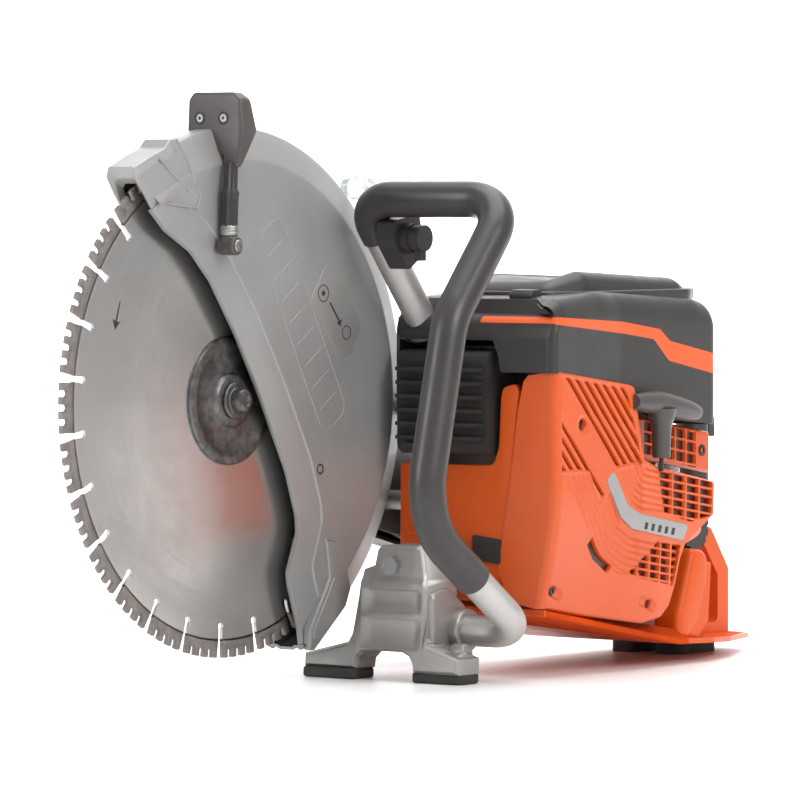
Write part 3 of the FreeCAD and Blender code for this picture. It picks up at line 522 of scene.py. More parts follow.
@dataclass(frozen=True)
class SpunSteel(Finish):
    """A ground disc: fine rings round the blade's axis, a dark weld line, drifting heat stains, and painted
    reflection: dark fans by angle round the axis that stand in for the disc's reflections.
    """

    ring_mm: float = 0.35
    weld_r_mm: float = 189.0
    weld_mm: float = 1.4

    def build(self) -> bpy.types.Material:
        """The material."""
        graph = Graph(self.name)
        centred = graph.node("ShaderNodeMapping", vector_type="POINT")
        centred.inputs["Location"].default_value = (-SPINDLE[0], -SPINDLE[1], -SPINDLE[2])
        graph.link(graph.place, centred.inputs["Vector"])
        parts = graph.node("ShaderNodeSeparateXYZ")
        graph.link(centred.outputs["Vector"], parts.inputs["Vector"])
        squares = graph.maths("ADD", graph.maths("MULTIPLY", parts.outputs["X"], parts.outputs["X"]),
                              graph.maths("MULTIPLY", parts.outputs["Z"], parts.outputs["Z"]))
        radius = graph.maths("SQRT", squares)
        lines = graph.node("ShaderNodeTexNoise", noise_dimensions="1D")
        graph.put(lines, W=radius, Scale=1000.0 / self.ring_mm, Detail=3.0, Roughness=0.6)
        turn = graph.maths("ARCTAN2", parts.outputs["Z"], parts.outputs["X"])
        # Painted reflection: dark fans by angle round the axis, in the shade colour, stand in for the brushed
        # disc's reflections.
        painted_reflection_fans = graph.node("ShaderNodeTexNoise", noise_dimensions="1D")
        graph.put(painted_reflection_fans, W=turn, Scale=2.2, Detail=3.0, Roughness=0.5)
        stain = graph.noise(1000.0 / 70.0, 6.0, roughness=0.62)
        colour = graph.mixed(graph.ranged(stain, 0.0, 0.55), self.colour, self.shade)
        colour = graph.mixed(graph.ranged(painted_reflection_fans.outputs["Fac"], 0.0, 0.5), colour, self.shade)
        colour = graph.mixed(graph.ranged(lines.outputs["Fac"], 0.0, 0.35), colour, (0.32, 0.31, 0.30))
        off_weld = graph.maths("ABSOLUTE", graph.maths("SUBTRACT", radius, self.weld_r_mm * MM))
        weld = graph.ranged(off_weld, 1.0, 0.0, self.weld_mm * 0.0003, self.weld_mm * MM)
        colour = graph.mixed(weld, colour, (0.035, 0.032, 0.03))
        rough = graph.ranged(stain, self.rough[0], self.rough[1])
        graph.put(graph.shader, Base_Color=colour, Roughness=rough)
        graph.shader.inputs["Metallic"].default_value = self.metal
        graph.shader.inputs["Anisotropic"].default_value = 0.55
        low = graph.bump(lines.outputs["Fac"], 0.00003)
        graph.put(graph.shader, Normal=graph.bump(graph.noise(900.0, 2.0), 0.00001, under=low))
        return graph.material


@dataclass(frozen=True)
class Marked(Finish):
    """A finish that turns to a second colour where an attribute passes a level.

    Attributes:
        mark: the attribute.
        mark_colour: the second colour.
        start: the level where the change starts.
        end: the level where it is complete.
    """

    # By default the second colour is painted shade: orange as if in deep shadow, for the bottoms of openings.
    mark: str = "opening"
    mark_colour: Colour = (0.05, 0.006, 0.003)
    start: float = 0.55
    end: float = 0.95

    def build(self) -> bpy.types.Material:
        """The material."""
        material = super().build()
        nodes, links = material.node_tree.nodes, material.node_tree.links
        shader = next(node for node in nodes if node.type == "BSDF_PRINCIPLED")
        plain = shader.inputs["Base Color"].links[0].from_socket
        level = nodes.new("ShaderNodeAttribute")
        level.attribute_name = self.mark
        ramp = nodes.new("ShaderNodeMapRange")
        ramp.inputs["From Min"].default_value = self.start
        ramp.inputs["From Max"].default_value = self.end
        links.new(level.outputs["Fac"], ramp.inputs["Value"])
        mix = nodes.new("ShaderNodeMix")
        mix.data_type = "RGBA"
        links.new(ramp.outputs["Result"], mix.inputs["Factor"])
        links.new(plain, mix.inputs[6])
        mix.inputs[7].default_value = (*self.mark_colour, 1.0)
        links.new(mix.outputs[2], shader.inputs["Base Color"])
        return material


@dataclass(frozen=True)
class Sintered(Finish):
    """A pressed metal matrix with diamond grit."""

    def add_grain(self, graph: Graph, fine: bpy.types.NodeSocket) -> None:
        """Bump from coarse cells over the fine noise."""
        grit = graph.node("ShaderNodeTexVoronoi")
        graph.put(grit, Scale=1000.0 / 0.9, Vector=graph.place)
        low = graph.bump(grit.outputs["Distance"], 0.00025)
        graph.put(graph.shader, Normal=graph.bump(fine, self.grain_depth_mm * MM, under=low))


@dataclass(frozen=True)
class ClearPlastic(Finish):
    """Milky clear plastic."""

    def build(self) -> bpy.types.Material:
        """The material."""
        graph = Graph(self.name)
        cloud = graph.noise(1000.0 / 18.0, 4.0)
        colour = graph.mixed(graph.ranged(cloud, 0.0, 1.0), self.colour, self.shade)
        graph.put(graph.shader, Base_Color=colour, Roughness=graph.ranged(cloud, *self.rough))
        graph.shader.inputs["Transmission Weight"].default_value = 0.72
        graph.shader.inputs["IOR"].default_value = 1.45
        return graph.material


ORANGE = Finish("orange_moulding", (0.68, 0.096, 0.009), (0.62, 0.080, 0.007), (0.30, 0.42), grain_mm=0.9,
                grain_depth_mm=0.012, drift_mm=90.0, shine=0.3)
SKID = Finish("scuffed_orange", (0.60, 0.066, 0.006), (0.50, 0.050, 0.006), (0.62, 0.8), grain_mm=1.4,
              grain_depth_mm=0.05, drift_mm=30.0, shine=0.05)
DARK = Finish("dark_moulding", (0.034, 0.030, 0.028), (0.027, 0.024, 0.022), (0.34, 0.48), grain_mm=0.8,
              grain_depth_mm=0.03)
GUARD_PAINT = Finish("guard_paint", (0.34, 0.336, 0.328), (0.30, 0.296, 0.289), (0.34, 0.46), metal=0.3,
                     grain_mm=0.7, grain_depth_mm=0.018, coat=0.1)
CASTING = Finish("blasted_casting", (0.37, 0.36, 0.345), (0.31, 0.30, 0.29), (0.36, 0.5), metal=0.75,
                 grain_mm=0.8, grain_depth_mm=0.05)
# The shade colour is set dark for both the heat stains and the painted reflection fans.
BLADE_STEEL = SpunSteel("ground_disc", (0.66, 0.645, 0.625), (0.52, 0.505, 0.49), (0.16, 0.27), metal=0.85)
SEGMENT = Sintered("diamond_segment", (0.30, 0.27, 0.25), (0.20, 0.18, 0.17), (0.42, 0.6), metal=0.7,
                   grain_mm=0.5, grain_depth_mm=0.05, drift_mm=9.0)
BLACK_STEEL = Finish("blackened_steel", (0.060, 0.060, 0.062), (0.11, 0.11, 0.11), (0.30, 0.52), metal=0.9,
                     grain_mm=1.6, grain_depth_mm=0.05, drift_mm=22.0)
STEEL = Finish("machined_steel", (0.42, 0.42, 0.42), (0.34, 0.34, 0.33), (0.25, 0.4), metal=1.0, grain_mm=0.6,
               grain_depth_mm=0.01)
TUBE_ALLOY = Finish("blasted_tube", (0.58, 0.57, 0.55), (0.50, 0.49, 0.48), (0.40, 0.50), metal=0.9,
                    grain_mm=0.6, grain_depth_mm=0.02)
SLEEVE = Finish("grip_sleeve", (0.040, 0.036, 0.034), (0.032, 0.029, 0.027), (0.30, 0.42), grain_mm=0.9,
                grain_depth_mm=0.02)
PAD = Finish("foot_rubber", (0.022, 0.020, 0.019), (0.035, 0.032, 0.030), (0.6, 0.8), grain_mm=1.0,
             grain_depth_mm=0.05)
RUBBER = Finish("black_rubber", (0.028, 0.027, 0.027), (0.020, 0.020, 0.020), (0.35, 0.55), grain_mm=1.1,
                grain_depth_mm=0.03)
MUFFLER_BLACK = Finish("stove_black", (0.022, 0.020, 0.020), (0.034, 0.030, 0.028), (0.45, 0.65), metal=0.2,
                       grain_mm=1.0, grain_depth_mm=0.05)
CONTROL = Finish("control_plastic", (0.034, 0.031, 0.029), (0.027, 0.025, 0.024), (0.45, 0.6), grain_mm=0.8,
                 grain_depth_mm=0.03)
RED = Finish("red_switch", (0.50, 0.012, 0.010), (0.42, 0.010, 0.008), (0.3, 0.4))
BLUE = Finish("blue_knob", (0.02, 0.08, 0.32), (0.016, 0.06, 0.26), (0.3, 0.4))
PAPER = Finish("filter_paper", (0.56, 0.50, 0.34), (0.46, 0.40, 0.27), (0.8, 0.95), grain_mm=0.6,
               grain_depth_mm=0.05)
BADGE = Finish("grey_badge", (0.34, 0.335, 0.33), (0.31, 0.305, 0.30), (0.3, 0.4))
CLEAR = ClearPlastic("clear_plastic", (0.86, 0.92, 0.90), (0.78, 0.84, 0.83), (0.12, 0.3))

FORGED = Finish("forged_steel", (0.085, 0.084, 0.082), (0.22, 0.215, 0.21), (0.30, 0.5), metal=0.9,
                grain_mm=1.3,
                grain_depth_mm=0.12, drift_mm=7.0)
# Near-black painted shade for the guard's inner faces and far wall ring, which lie in shadow.
PAINTED_GUARD_SHADE = Finish("guard_inside", (0.020, 0.019, 0.018), (0.032, 0.030, 0.028), (0.6, 0.8), grain_depth_mm=0.05)
LABEL = Finish("guard_label", (0.36, 0.352, 0.34), (0.33, 0.323, 0.312), (0.3, 0.4), metal=0.4)
PADDLE = Finish("paddle_plastic", (0.075, 0.068, 0.064), (0.062, 0.056, 0.053), (0.34, 0.46), grain_mm=0.8,
                grain_depth_mm=0.02)
# Orange moulding with painted shade: the bottoms of its openings and wells turn near-black orange.
VENTS_PAINTED_SHADE = Marked("vented_moulding", ORANGE.colour, ORANGE.shade, ORANGE.rough, grain_mm=0.9,
                grain_depth_mm=0.012,
                drift_mm=90.0, coat=0.25)
STRIPED = Marked("striped_moulding", DARK.colour, DARK.shade, DARK.rough, grain_mm=0.8, grain_depth_mm=0.03,
                 mark="stripe", mark_colour=(0.76, 0.10, 0.016), start=-0.15, end=0.15)
HOSE = Finish("hose_rubber", (0.036, 0.033, 0.032), (0.028, 0.026, 0.025), (0.28, 0.42), grain_depth_mm=0.02)

SLOT_FINISH = {
    "orange_cover": ORANGE, "dark_cover": DARK, "belt_cover": DARK, "guard_silver": GUARD_PAINT,
    "cast_silver": CASTING, "blade_plate": BLADE_STEEL, "segment_metal": SEGMENT, "dark_steel": BLACK_STEEL,
    "machined_steel": STEEL, "piston_alloy": STEEL, "tube_alloy": TUBE_ALLOY, "grip_rubber": SLEEVE,
    "foot_rubber": PAD, "belt_rubber": RUBBER, "muffler_black": MUFFLER_BLACK, "ceramic_plug": CONTROL,
    "filter_paper": PAPER, "coil_black": CONTROL, "plate_black": CONTROL, "control_black": CONTROL,
    "control_red": RED, "control_blue": BLUE, "clear_plastic": CLEAR,
}
BUILT: dict[str, bpy.types.Material] = {}


def material_of(finish: Finish) -> bpy.types.Material:
    """The finish's material, built once."""
    if finish.name not in BUILT:
        BUILT[finish.name] = finish.build()
    return BUILT[finish.name]


# Pieces -----------------------------------------------------------------------------------------

@dataclass(frozen=True)
class Piece:
    """What a new piece rides on, is finished with and stands for."""

    name: str
    body: str
    slot: str
    finish: Finish
    replaces: tuple[str, ...] = ()
    sharp_deg: float = 34.0

    def make(self, shell: Shell, weld: bool = True, ride: bool = True) -> bpy.types.Object:
        """Makes the object, rides it on its body and reports it.

        Args:
            shell: the closed shell in machine millimetres.
            weld: whether points that coincide are joined.
            ride: whether the piece rides on its body at once.

        Returns:
            The object, at the origin, with its place in its mesh.
        """
        mesh = bpy.data.meshes.new(self.name)
        mesh.from_pydata(to_frame(shell.points).tolist(), [], shell.faces)
        work = bmesh.new()
        work.from_mesh(mesh)
        if weld:
            bmesh.ops.remove_doubles(work, verts=work.verts, dist=2e-6)
            bmesh.ops.dissolve_degenerate(work, edges=work.edges, dist=1e-7)
        bmesh.ops.recalc_face_normals(work, faces=work.faces)
        work.to_mesh(mesh)
        work.free()
        mesh.shade_smooth()
        mesh.set_sharp_from_angle(angle=math.radians(self.sharp_deg))
        made = bpy.data.objects.new(self.name, mesh)
        bpy.context.scene.collection.objects.link(made)
        made.data.materials.append(material_of(self.finish))
        if ride:
            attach(made, self.body)
        if self.replaces:
            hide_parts(*self.replaces)
        LOG.info("%s on %s: %d faces", self.name, self.body, len(mesh.polygons))
        return made


def dress_frame() -> None:
    """Gives every carried-over node the finish of its slot."""
    slots = {part["node"]: part["material_slot"] for part in frame["record"]["subparts"]}
    for name, node in frame["nodes"].items():
        if slots[name] not in SLOT_FINISH:
            continue
        node.data.materials.clear()
        node.data.materials.append(material_of(SLOT_FINISH[slots[name]]))


# The blade ---------------------------------------------------------------------------------------

@dataclass
class BladeSet:
    """The disc, its segments and the parts that clamp it."""

    rim_r: float = 203.0
    core_r: float = 190.0
    core_half: float = 1.4
    segment_half: float = 1.8
    slots: int = 27
    phase_deg: float = 6.6
    teeth: int = 4
    tooth: float = 5.9
    notch: float = 4.9
    notch_depth: float = 7.6

    def placed(self, local: Points, step: float) -> Points:
        """Turns local (along the rim, outward) points to the slot number `step` and back to X, Z."""
        angle = math.radians(self.phase_deg + 360.0 * step / self.slots)
        x = local[:, 1] * math.cos(angle) - local[:, 0] * math.sin(angle)
        z = local[:, 1] * math.sin(angle) + local[:, 0] * math.cos(angle)
        return np.stack([x, z + SPINDLE_Z], axis=1)

    def core(self) -> Shell:
        """The steel disc: a plain middle, and a land between every two slots with their keyholes."""
        inner = 174.0
        middle = [(0, -self.core_half), (inner, -self.core_half), (inner, self.core_half),
                  (0, self.core_half)]
        pitch = 2 * math.pi / self.slots
        turn = np.linspace(math.radians(40), math.radians(-90), 9)
        hole = np.stack([3.1 * np.cos(turn), 178.2 + 3.1 * np.sin(turn)], axis=1)
        left = np.vstack([[(2.2, self.core_r - 0.05)], hole, [(0.0, inner)]])
        turned_left = np.stack([-left[:, 0], left[:, 1]], axis=1)[::-1]
        arc = np.linspace(0, pitch, 8)[1:-1]
        foot = np.stack([inner * np.sin(arc), inner * np.cos(arc)], axis=1)
        head = np.stack([self.core_r * np.sin(arc), self.core_r * np.cos(arc)], axis=1)[::-1]
        across = np.stack([turned_left[:, 0] * math.cos(pitch) + turned_left[:, 1] * math.sin(pitch),
                           turned_left[:, 1] * math.cos(pitch) - turned_left[:, 0] * math.sin(pitch)], axis=1)
        land = np.vstack([left, foot, across, head])
        lands = [plate(Axis.Y, self.placed(land, step), -self.core_half, self.core_half, edge=0.05, steps=1)
                 for step in range(self.slots)]
        return combined([lathe(Axis.Y, (0, SPINDLE_Z), middle, 144, closed=False)] + lands)

    def segments(self) -> Shell:
        """Sintered segments with square teeth and round-bottomed notches."""
        start = -(self.teeth * self.tooth + (self.teeth - 1) * self.notch) / 2
        corners = [(start - 0.9, self.core_r - 0.7)]
        radii = [0.3]
        for k in range(self.teeth):
            left = start + k * (self.tooth + self.notch)
            floor = self.rim_r - self.notch_depth
            corners += [(left, self.rim_r), (left + self.tooth, self.rim_r)]
            radii += [0.7, 0.7]
            if k < self.teeth - 1:
                corners += [(left + self.tooth, floor), (left + self.tooth + self.notch, floor)]
                radii += [2.2, 2.2]
        corners += [(-start + 0.9, self.core_r - 0.7), (6.5, self.core_r - 0.7), (-6.5, self.core_r - 0.7)]
        radii += [0.3, 0.0, 0.0]
        flat = rounded(corners, radii, steps=5)
        angle = flat[:, 0] / 197.0
        bent = np.stack([flat[:, 1] * np.sin(angle), flat[:, 1] * np.cos(angle)], axis=1)
        outlines = [self.placed(bent, step + 0.5) for step in range(self.slots)]
        return combined(plate(Axis.Y, outline, -self.segment_half, self.segment_half, edge=0.3, steps=2)
                        for outline in outlines)

    def arrow(self) -> Shell:
        """Turning arrow printed on the disc."""
        outline = [(132.0, 305.0), (133.2, 304.6), (138.6, 290.0), (141.8, 292.0), (139.0, 283.0),
                   (133.0, 289.0), (136.6, 289.4)]
        return plate(Axis.Y, outline, self.core_half - 0.2, self.core_half + 0.08, edge=0.02, steps=1)

    def flange(self) -> Shell:
        """Forged clamping flange with a raised rim and hub."""
        profile = [(12.7, 1.42), (51, 1.42), (51, 3.2), (50, 4.4), (45, 5.2), (42.5, 4.6), (40, 3.9),
                   (25, 3.4),
                   (22, 4.2), (20.5, 6.2), (19, 6.9), (12.7, 6.9)]
        return lathe(Axis.Y, (0, SPINDLE_Z), profile, 96)

    def bolt(self) -> Shell:
        """Bolt with a washer face and a round end."""
        ring_profile = [(0, 7.0), (14.2, 7.0), (14.6, 7.5), (14.6, 9.2), (13.8, 10.0), (10.2, 10.2),
                        (9.6, 10.8),
                        (9.4, 16.8), (8.2, 18.6), (5.0, 19.4), (4.4, 18.4), (0, 18.2)]
        return lathe(Axis.Y, (0, SPINDLE_Z), ring_profile, 48, closed=False)

    def build(self) -> None:
        """Makes the pieces that turn with the blade."""
        Piece("disc", "blade", "blade_plate", BLADE_STEEL, ("blade_core",)).make(self.core())
        Piece("segments", "blade", "segment_metal", SEGMENT, ("blade_segments",)).make(self.segments())
        Piece("turning_arrow", "blade", "blade_plate", RUBBER).make(self.arrow())
        Piece("clamp_flange", "blade", "dark_steel", FORGED, ("outer_flange",)).make(self.flange())
        Piece("clamp_bolt", "blade", "dark_steel", FORGED, ("spindle_bolt",)).make(self.bolt())


# The guard ---------------------------------------------------------------------------------------

@dataclass
class Guard:
    """The silver guard: a wall swept from its mouth round to its rim, with the nose on top."""

    rim_r: float = 215.0
    side_r: float = 189.0
    rim_y: float = 8.0
    face_y: float = 20.0
    lip_y: float = 15.6
    wall: float = 2.6
    band: float = 27.0
    start_deg: float = 55.4
    mouth: tuple[tuple[float, float], ...] = (
        (112, 375), (94, 359), (62, 342), (38, 319), (7, 277), (-25, 225), (-57, 167), (-70, 131), (-71, 118),
        (-58, 86), (-60, 76), (-72, 41), (-75, 24))

    def mouth_path(self) -> Points:
        """The mouth's edge in X, Z, rounded and evenly spaced."""
        line = rounded(self.mouth, [0, 6, 16, 20, 60, 120, 60, 12, 8, 8, 8, 20, 0], closed=False, steps=9)
        return resampled(line, 1.6)

    def section(self, inward: float) -> Points:
        """The wall from the mouth's near edge over the rim to its far edge, as a grid.

        Each row starts on the mouth, rises over a step at the crease, and runs to the bevel's circle, then
        over the bevel and the rim, and back the same way on the far side.

        Args:
            inward: distance from the outer surface.

        Returns:
            (rows, columns, 3) points.
        """
        lip = self.mouth_path()
        rows = len(lip)
        start = math.radians(self.start_deg)
        end = math.atan2(lip[-1, 1] - SPINDLE_Z, lip[-1, 0]) + 2 * math.pi
        angle = np.linspace(start, end, rows)
        way = np.stack([np.cos(angle), np.sin(angle)], axis=1)
        centre = np.array([0.0, SPINDLE_Z])
        reach = np.linalg.norm(lip - centre, axis=1)
        side_reach = np.maximum(self.side_r - 1.5 - inward * 0.5, np.minimum(reach + 1.5, self.rim_r - 3.0))
        side = centre + way * side_reach[:, None]
        span = np.linalg.norm(side - lip, axis=1)
        crease = np.clip(self.band / np.maximum(span, 1e-6), 0.0, 0.72)
        columns = []
        depth = []
        drop = self.face_y - self.lip_y
        lean = {0.0: -0.24, 0.02: 0.02, 0.2: 0.16, 0.4: 0.32, 0.6: 0.48, 0.8: 0.62, 0.95: 0.70, 1.0: 1.0}
        for k, share in lean.items():
            columns.append(lip + (side - lip) * (crease * k)[:, None])
            depth.append(np.full(rows, self.lip_y + drop * share - inward))
        for k in np.linspace(0, 1, 24)[1:]:
            share = crease + (1 - crease) * k
            columns.append(lip + (side - lip) * share[:, None])
            depth.append(np.full(rows, self.face_y - inward))
        bevel = [(self.side_r - 0.4, self.face_y - 0.1), (self.side_r + 1.2, self.face_y - 0.7)]
        bevel += [(self.side_r + 1.2 + (self.rim_r - 2.4 - self.side_r - 1.2) * t,
                   self.face_y - 0.7 + (self.rim_y + 1.6 - self.face_y
                                        + 0.7) * t) for t in np.linspace(0, 1, 6)[1:]]
        bevel += [(self.rim_r - 0.7, self.rim_y + 0.5), (self.rim_r, self.rim_y - 1.5), (self.rim_r, 0.0)]
        for step, (radius, y) in enumerate(bevel):
            held = np.maximum(radius, np.minimum(side_reach + 0.2 * (step + 1), self.rim_r))
            columns.append(centre + way * (held - inward)[:, None])
            depth.append(np.full(rows, y - inward * (0.5 if y > self.rim_y else 0.0)))
        flat = np.stack(columns, axis=1)
        y = np.stack(depth, axis=1)
        near = np.stack([flat[..., 0], y, flat[..., 1]], axis=2)
        far = near[:, -2::-1] * np.array([1.0, -1.0, 1.0])
        return np.concatenate([near, far], axis=1)

    def shell(self) -> Shell:
        """The whole wall."""
        return slab(self.section(0.0), self.section(self.wall))

    def nose_rows(self) -> Points:
        """Rings of the nose from its opening to its rear, each from the near foot over the top.

        Every ring is given by its near foot, waist, shoulder and top corner, and is mirrored in Y = 0.
        """
        near = np.array([
            [(108, 13.0, 373.5), (117, 12.6, 384), (124.5, 10.4, 397), (125.5, 7.0, 400)],
            [(111, 16.0, 375.3), (120, 16.2, 387), (130, 15.4, 400), (131, 12.8, 408)],
            [(106, 17.4, 381.1), (111, 17.8, 393), (113, 16.6, 409), (107, 13.0, 418)],
            [(84, 19.2, 378.8), (86, 19.3, 390), (92, 16.6, 414), (93, 13.0, 423)],
            [(79, 19.8, 378.0), (79, 19.9, 389), (86, 16.4, 418), (86, 13.0, 430)],
            [(62.5, 21.2, 376.7), (59.4, 21.2, 386.6), (73, 16.6, 419), (79, 13.0, 430)],
            [(57, 18.0, 374.0), (53, 18.0, 387.0), (67, 13.0, 421), (71, 9.0, 426)]])
        far = near[:, ::-1] * np.array([1.0, -1.0, 1.0])
        return np.concatenate([near, far], axis=1)

    def nose(self) -> Shell:
        """The faceted nose: its rings outside, the same drawn in by its wall inside, and closed feet."""
        outer = self.nose_rows()
        drawn = outer * np.array([1.0, 0.84, 1.0]) + np.array([-1.5, 0.0, -2.4])
        opening = outer[:1] * np.array([1.0, 0.98, 1.0]) + np.array([-10.0, 0.0, -5.0])
        rings = np.concatenate([outer, drawn[[6, 3, 2]], opening], axis=0)
        rows, cols = rings.shape[:2]
        faces = grid_faces(rows, cols, wrap_rows=True).tolist()
        faces.append([k * cols for k in range(rows)])
        faces.append([k * cols + cols - 1 for k in range(rows)][::-1])
        return Shell(rings.reshape(-1, 3), faces)

    def nose_ridges(self) -> Shell:
        """Raised lines on the nose: the V on its side and the edge round its rear."""
        across = self.nose_rows()
        edge = np.vstack([across[2, 0], across[5, 0], across[5, 1], across[5, 2], across[5, 3]])
        first = np.array([(103.5, 16.9, 415.0), (88.0, 18.0, 402.5), (71.8, 20.4, 389.5)])
        second = np.array([(82.5, 15.6, 421.0), (77.0, 17.9, 405.0), (71.8, 20.4, 389.5)])
        lines = [tube(resampled(edge, 2.0), 1.1, 12, reference=(0.2, 1.0, 0.1))]
        lines += [tube(resampled(line, 2.0), 1.0, 12, reference=(0.2, 1.0, 0.1)) for line in (first, second)]
        return combined(lines)

    def horn(self) -> Shell:
        """Raised wedge at the foot of the mouth."""
        outline = [(-95, 113), (-116, 110), (-124, 91), (-130, 71), (-123, 56), (-82, 23), (-75, 24),
                   (-75, 41),
                   (-101, 81), (-97, 108)]
        return plate(Axis.Y, outline, 17.0, 23.6, corner=[1.5, 2, 8, 5, 5, 1.5, 1.5, 6, 6, 1.5], edge=1.2,
                     steps=4,
                     taper=0.8)

    def horn_ridges(self) -> Shell:
        """Two raised lines beside each other down the wedge."""
        lines = [np.array([(-101.5, 22.6, 81), (-77.0, 22.6, 42), (-77.0, 22.6, 30)]),
                 np.array([(-107.0, 23.4, 80), (-83.0, 23.4, 42), (-80.5, 23.4, 33)])]
        return combined(tube(resampled(line, 2.0), 0.8, 12, reference=(0.0, 1.0, 0.0)) for line in lines)

    def hub_ring(self) -> Shell:
        """The far wall's bearing ring round the spindle."""
        profile = [(27.2, -20), (58, -20), (58, -17.4), (27.2, -17.4)]
        return lathe(Axis.Y, (0, SPINDLE_Z), profile, 72)

    def outline_relief(self) -> Shell:
        """Plain raised lines on the face: a long rounded panel that holds slanted bars."""
        panel = [(-12, 352), (-42, 372), (-128, 214), (-98, 194)]
        edge = rounded(panel, 12, steps=8)
        loop = np.vstack([edge, edge[:2]])
        path = resampled(np.column_stack([loop[:, 0], np.full(len(loop), self.face_y), loop[:, 1]]), 3.0)
        lines = [tube(path, 0.55, 8, reference=(0.0, 1.0, 0.0))]
        down = np.array([-86.0, -158.0]) / 9.0
        for k in range(1, 9):
            first = np.array([-12.0, 352.0]) + down * k
            second = first + np.array([-29.0, 20.0])
            middle = (first + second) / 2
            ends = middle + np.outer([-0.36, 0.36], second - first)
            path = np.column_stack([ends[:, 0], np.full(2, self.face_y), ends[:, 1]])
            lines.append(tube(resampled(path, 4.0), 0.55, 8, reference=(0.0, 1.0, 0.0)))
        return combined(lines)

    def label(self) -> Shell:
        """Raised label with a rounded outline."""
        return plate(Axis.Y, [(-80, 303), (-100, 330), (-113, 331), (-147, 282), (-133, 258), (-119, 255)],
                     19.8, 20.35,
                     corner=7, edge=0.3)

    def label_marks(self) -> Shell:
        """Generic pictogram: a ring with a dot, a second ring, and a short bar with a pointed tip."""
        ring = lathe(Axis.Y, (-97, 308), [(6.2, 20.2), (7.0, 20.2), (7.0, 20.5), (6.2, 20.5)], 32)
        second = lathe(Axis.Y, (-127, 276), [(5.0, 20.2), (5.8, 20.2), (5.8, 20.5), (5.0, 20.5)], 32)
        dot = knob(Axis.Y, (-97, 308), 2.2, 20.2, 20.5, 0.1)
        bar = plate(Axis.Y, [(-106, 301), (-119, 285), (-117.6, 284), (-104.6, 300)], 20.2, 20.5, edge=0.1)
        tip = plate(Axis.Y, [(-119, 281), (-121, 287), (-114.5, 284)], 20.2, 20.5, edge=0.1)
        return combined([ring, second, dot, bar, tip])

    def screw_hole(self) -> Shell:
        """Dark socket in the face, low on the guard."""
        return lathe(Axis.Y, (-93, 167.7), [(0, 19.4), (4.0, 19.4), (4.4, 20.25), (3.2, 20.3), (2.8, 19.9),
                                            (0, 19.7)], 28,
                     closed=False)

    def build(self) -> None:
        """Makes the guard's pieces."""
        wall = Piece("guard_wall", "guard", "guard_silver", GUARD_PAINT, ("guard_shell",), sharp_deg=24).make(
            self.shell())
        # The wall's inner faces are painted near-black as shade.
        wall.data.materials.append(material_of(PAINTED_GUARD_SHADE))
        rows, cols = self.section(0.0).shape[:2]
        quads = (rows - 1) * (cols - 1)
        index = np.zeros(len(wall.data.polygons), dtype=np.int32)
        index[quads:2 * quads] = 1
        wall.data.polygons.foreach_set("material_index", index)
        nose = Piece("guard_nose", "guard", "guard_silver", GUARD_PAINT, sharp_deg=14).make(self.nose())
        round_edges(nose, 1.2, 3)
        Piece("nose_ridges", "guard", "guard_silver", GUARD_PAINT).make(self.nose_ridges())
        Piece("guard_horn", "guard", "guard_silver", GUARD_PAINT).make(self.horn())
        Piece("horn_ridges", "guard", "guard_silver", GUARD_PAINT).make(self.horn_ridges())
        # The far wall's ring is painted near-black as shade.
        Piece("guard_hub", "guard", "guard_silver", PAINTED_GUARD_SHADE).make(self.hub_ring())
        Piece("guard_relief", "guard", "guard_silver", GUARD_PAINT).make(self.outline_relief())
        Piece("guard_label", "guard", "guard_silver", LABEL).make(self.label())
        Piece("label_marks", "guard", "guard_silver", CONTROL).make(self.label_marks())
        Piece("guard_socket", "guard", "dark_steel", RUBBER).make(self.screw_hole())


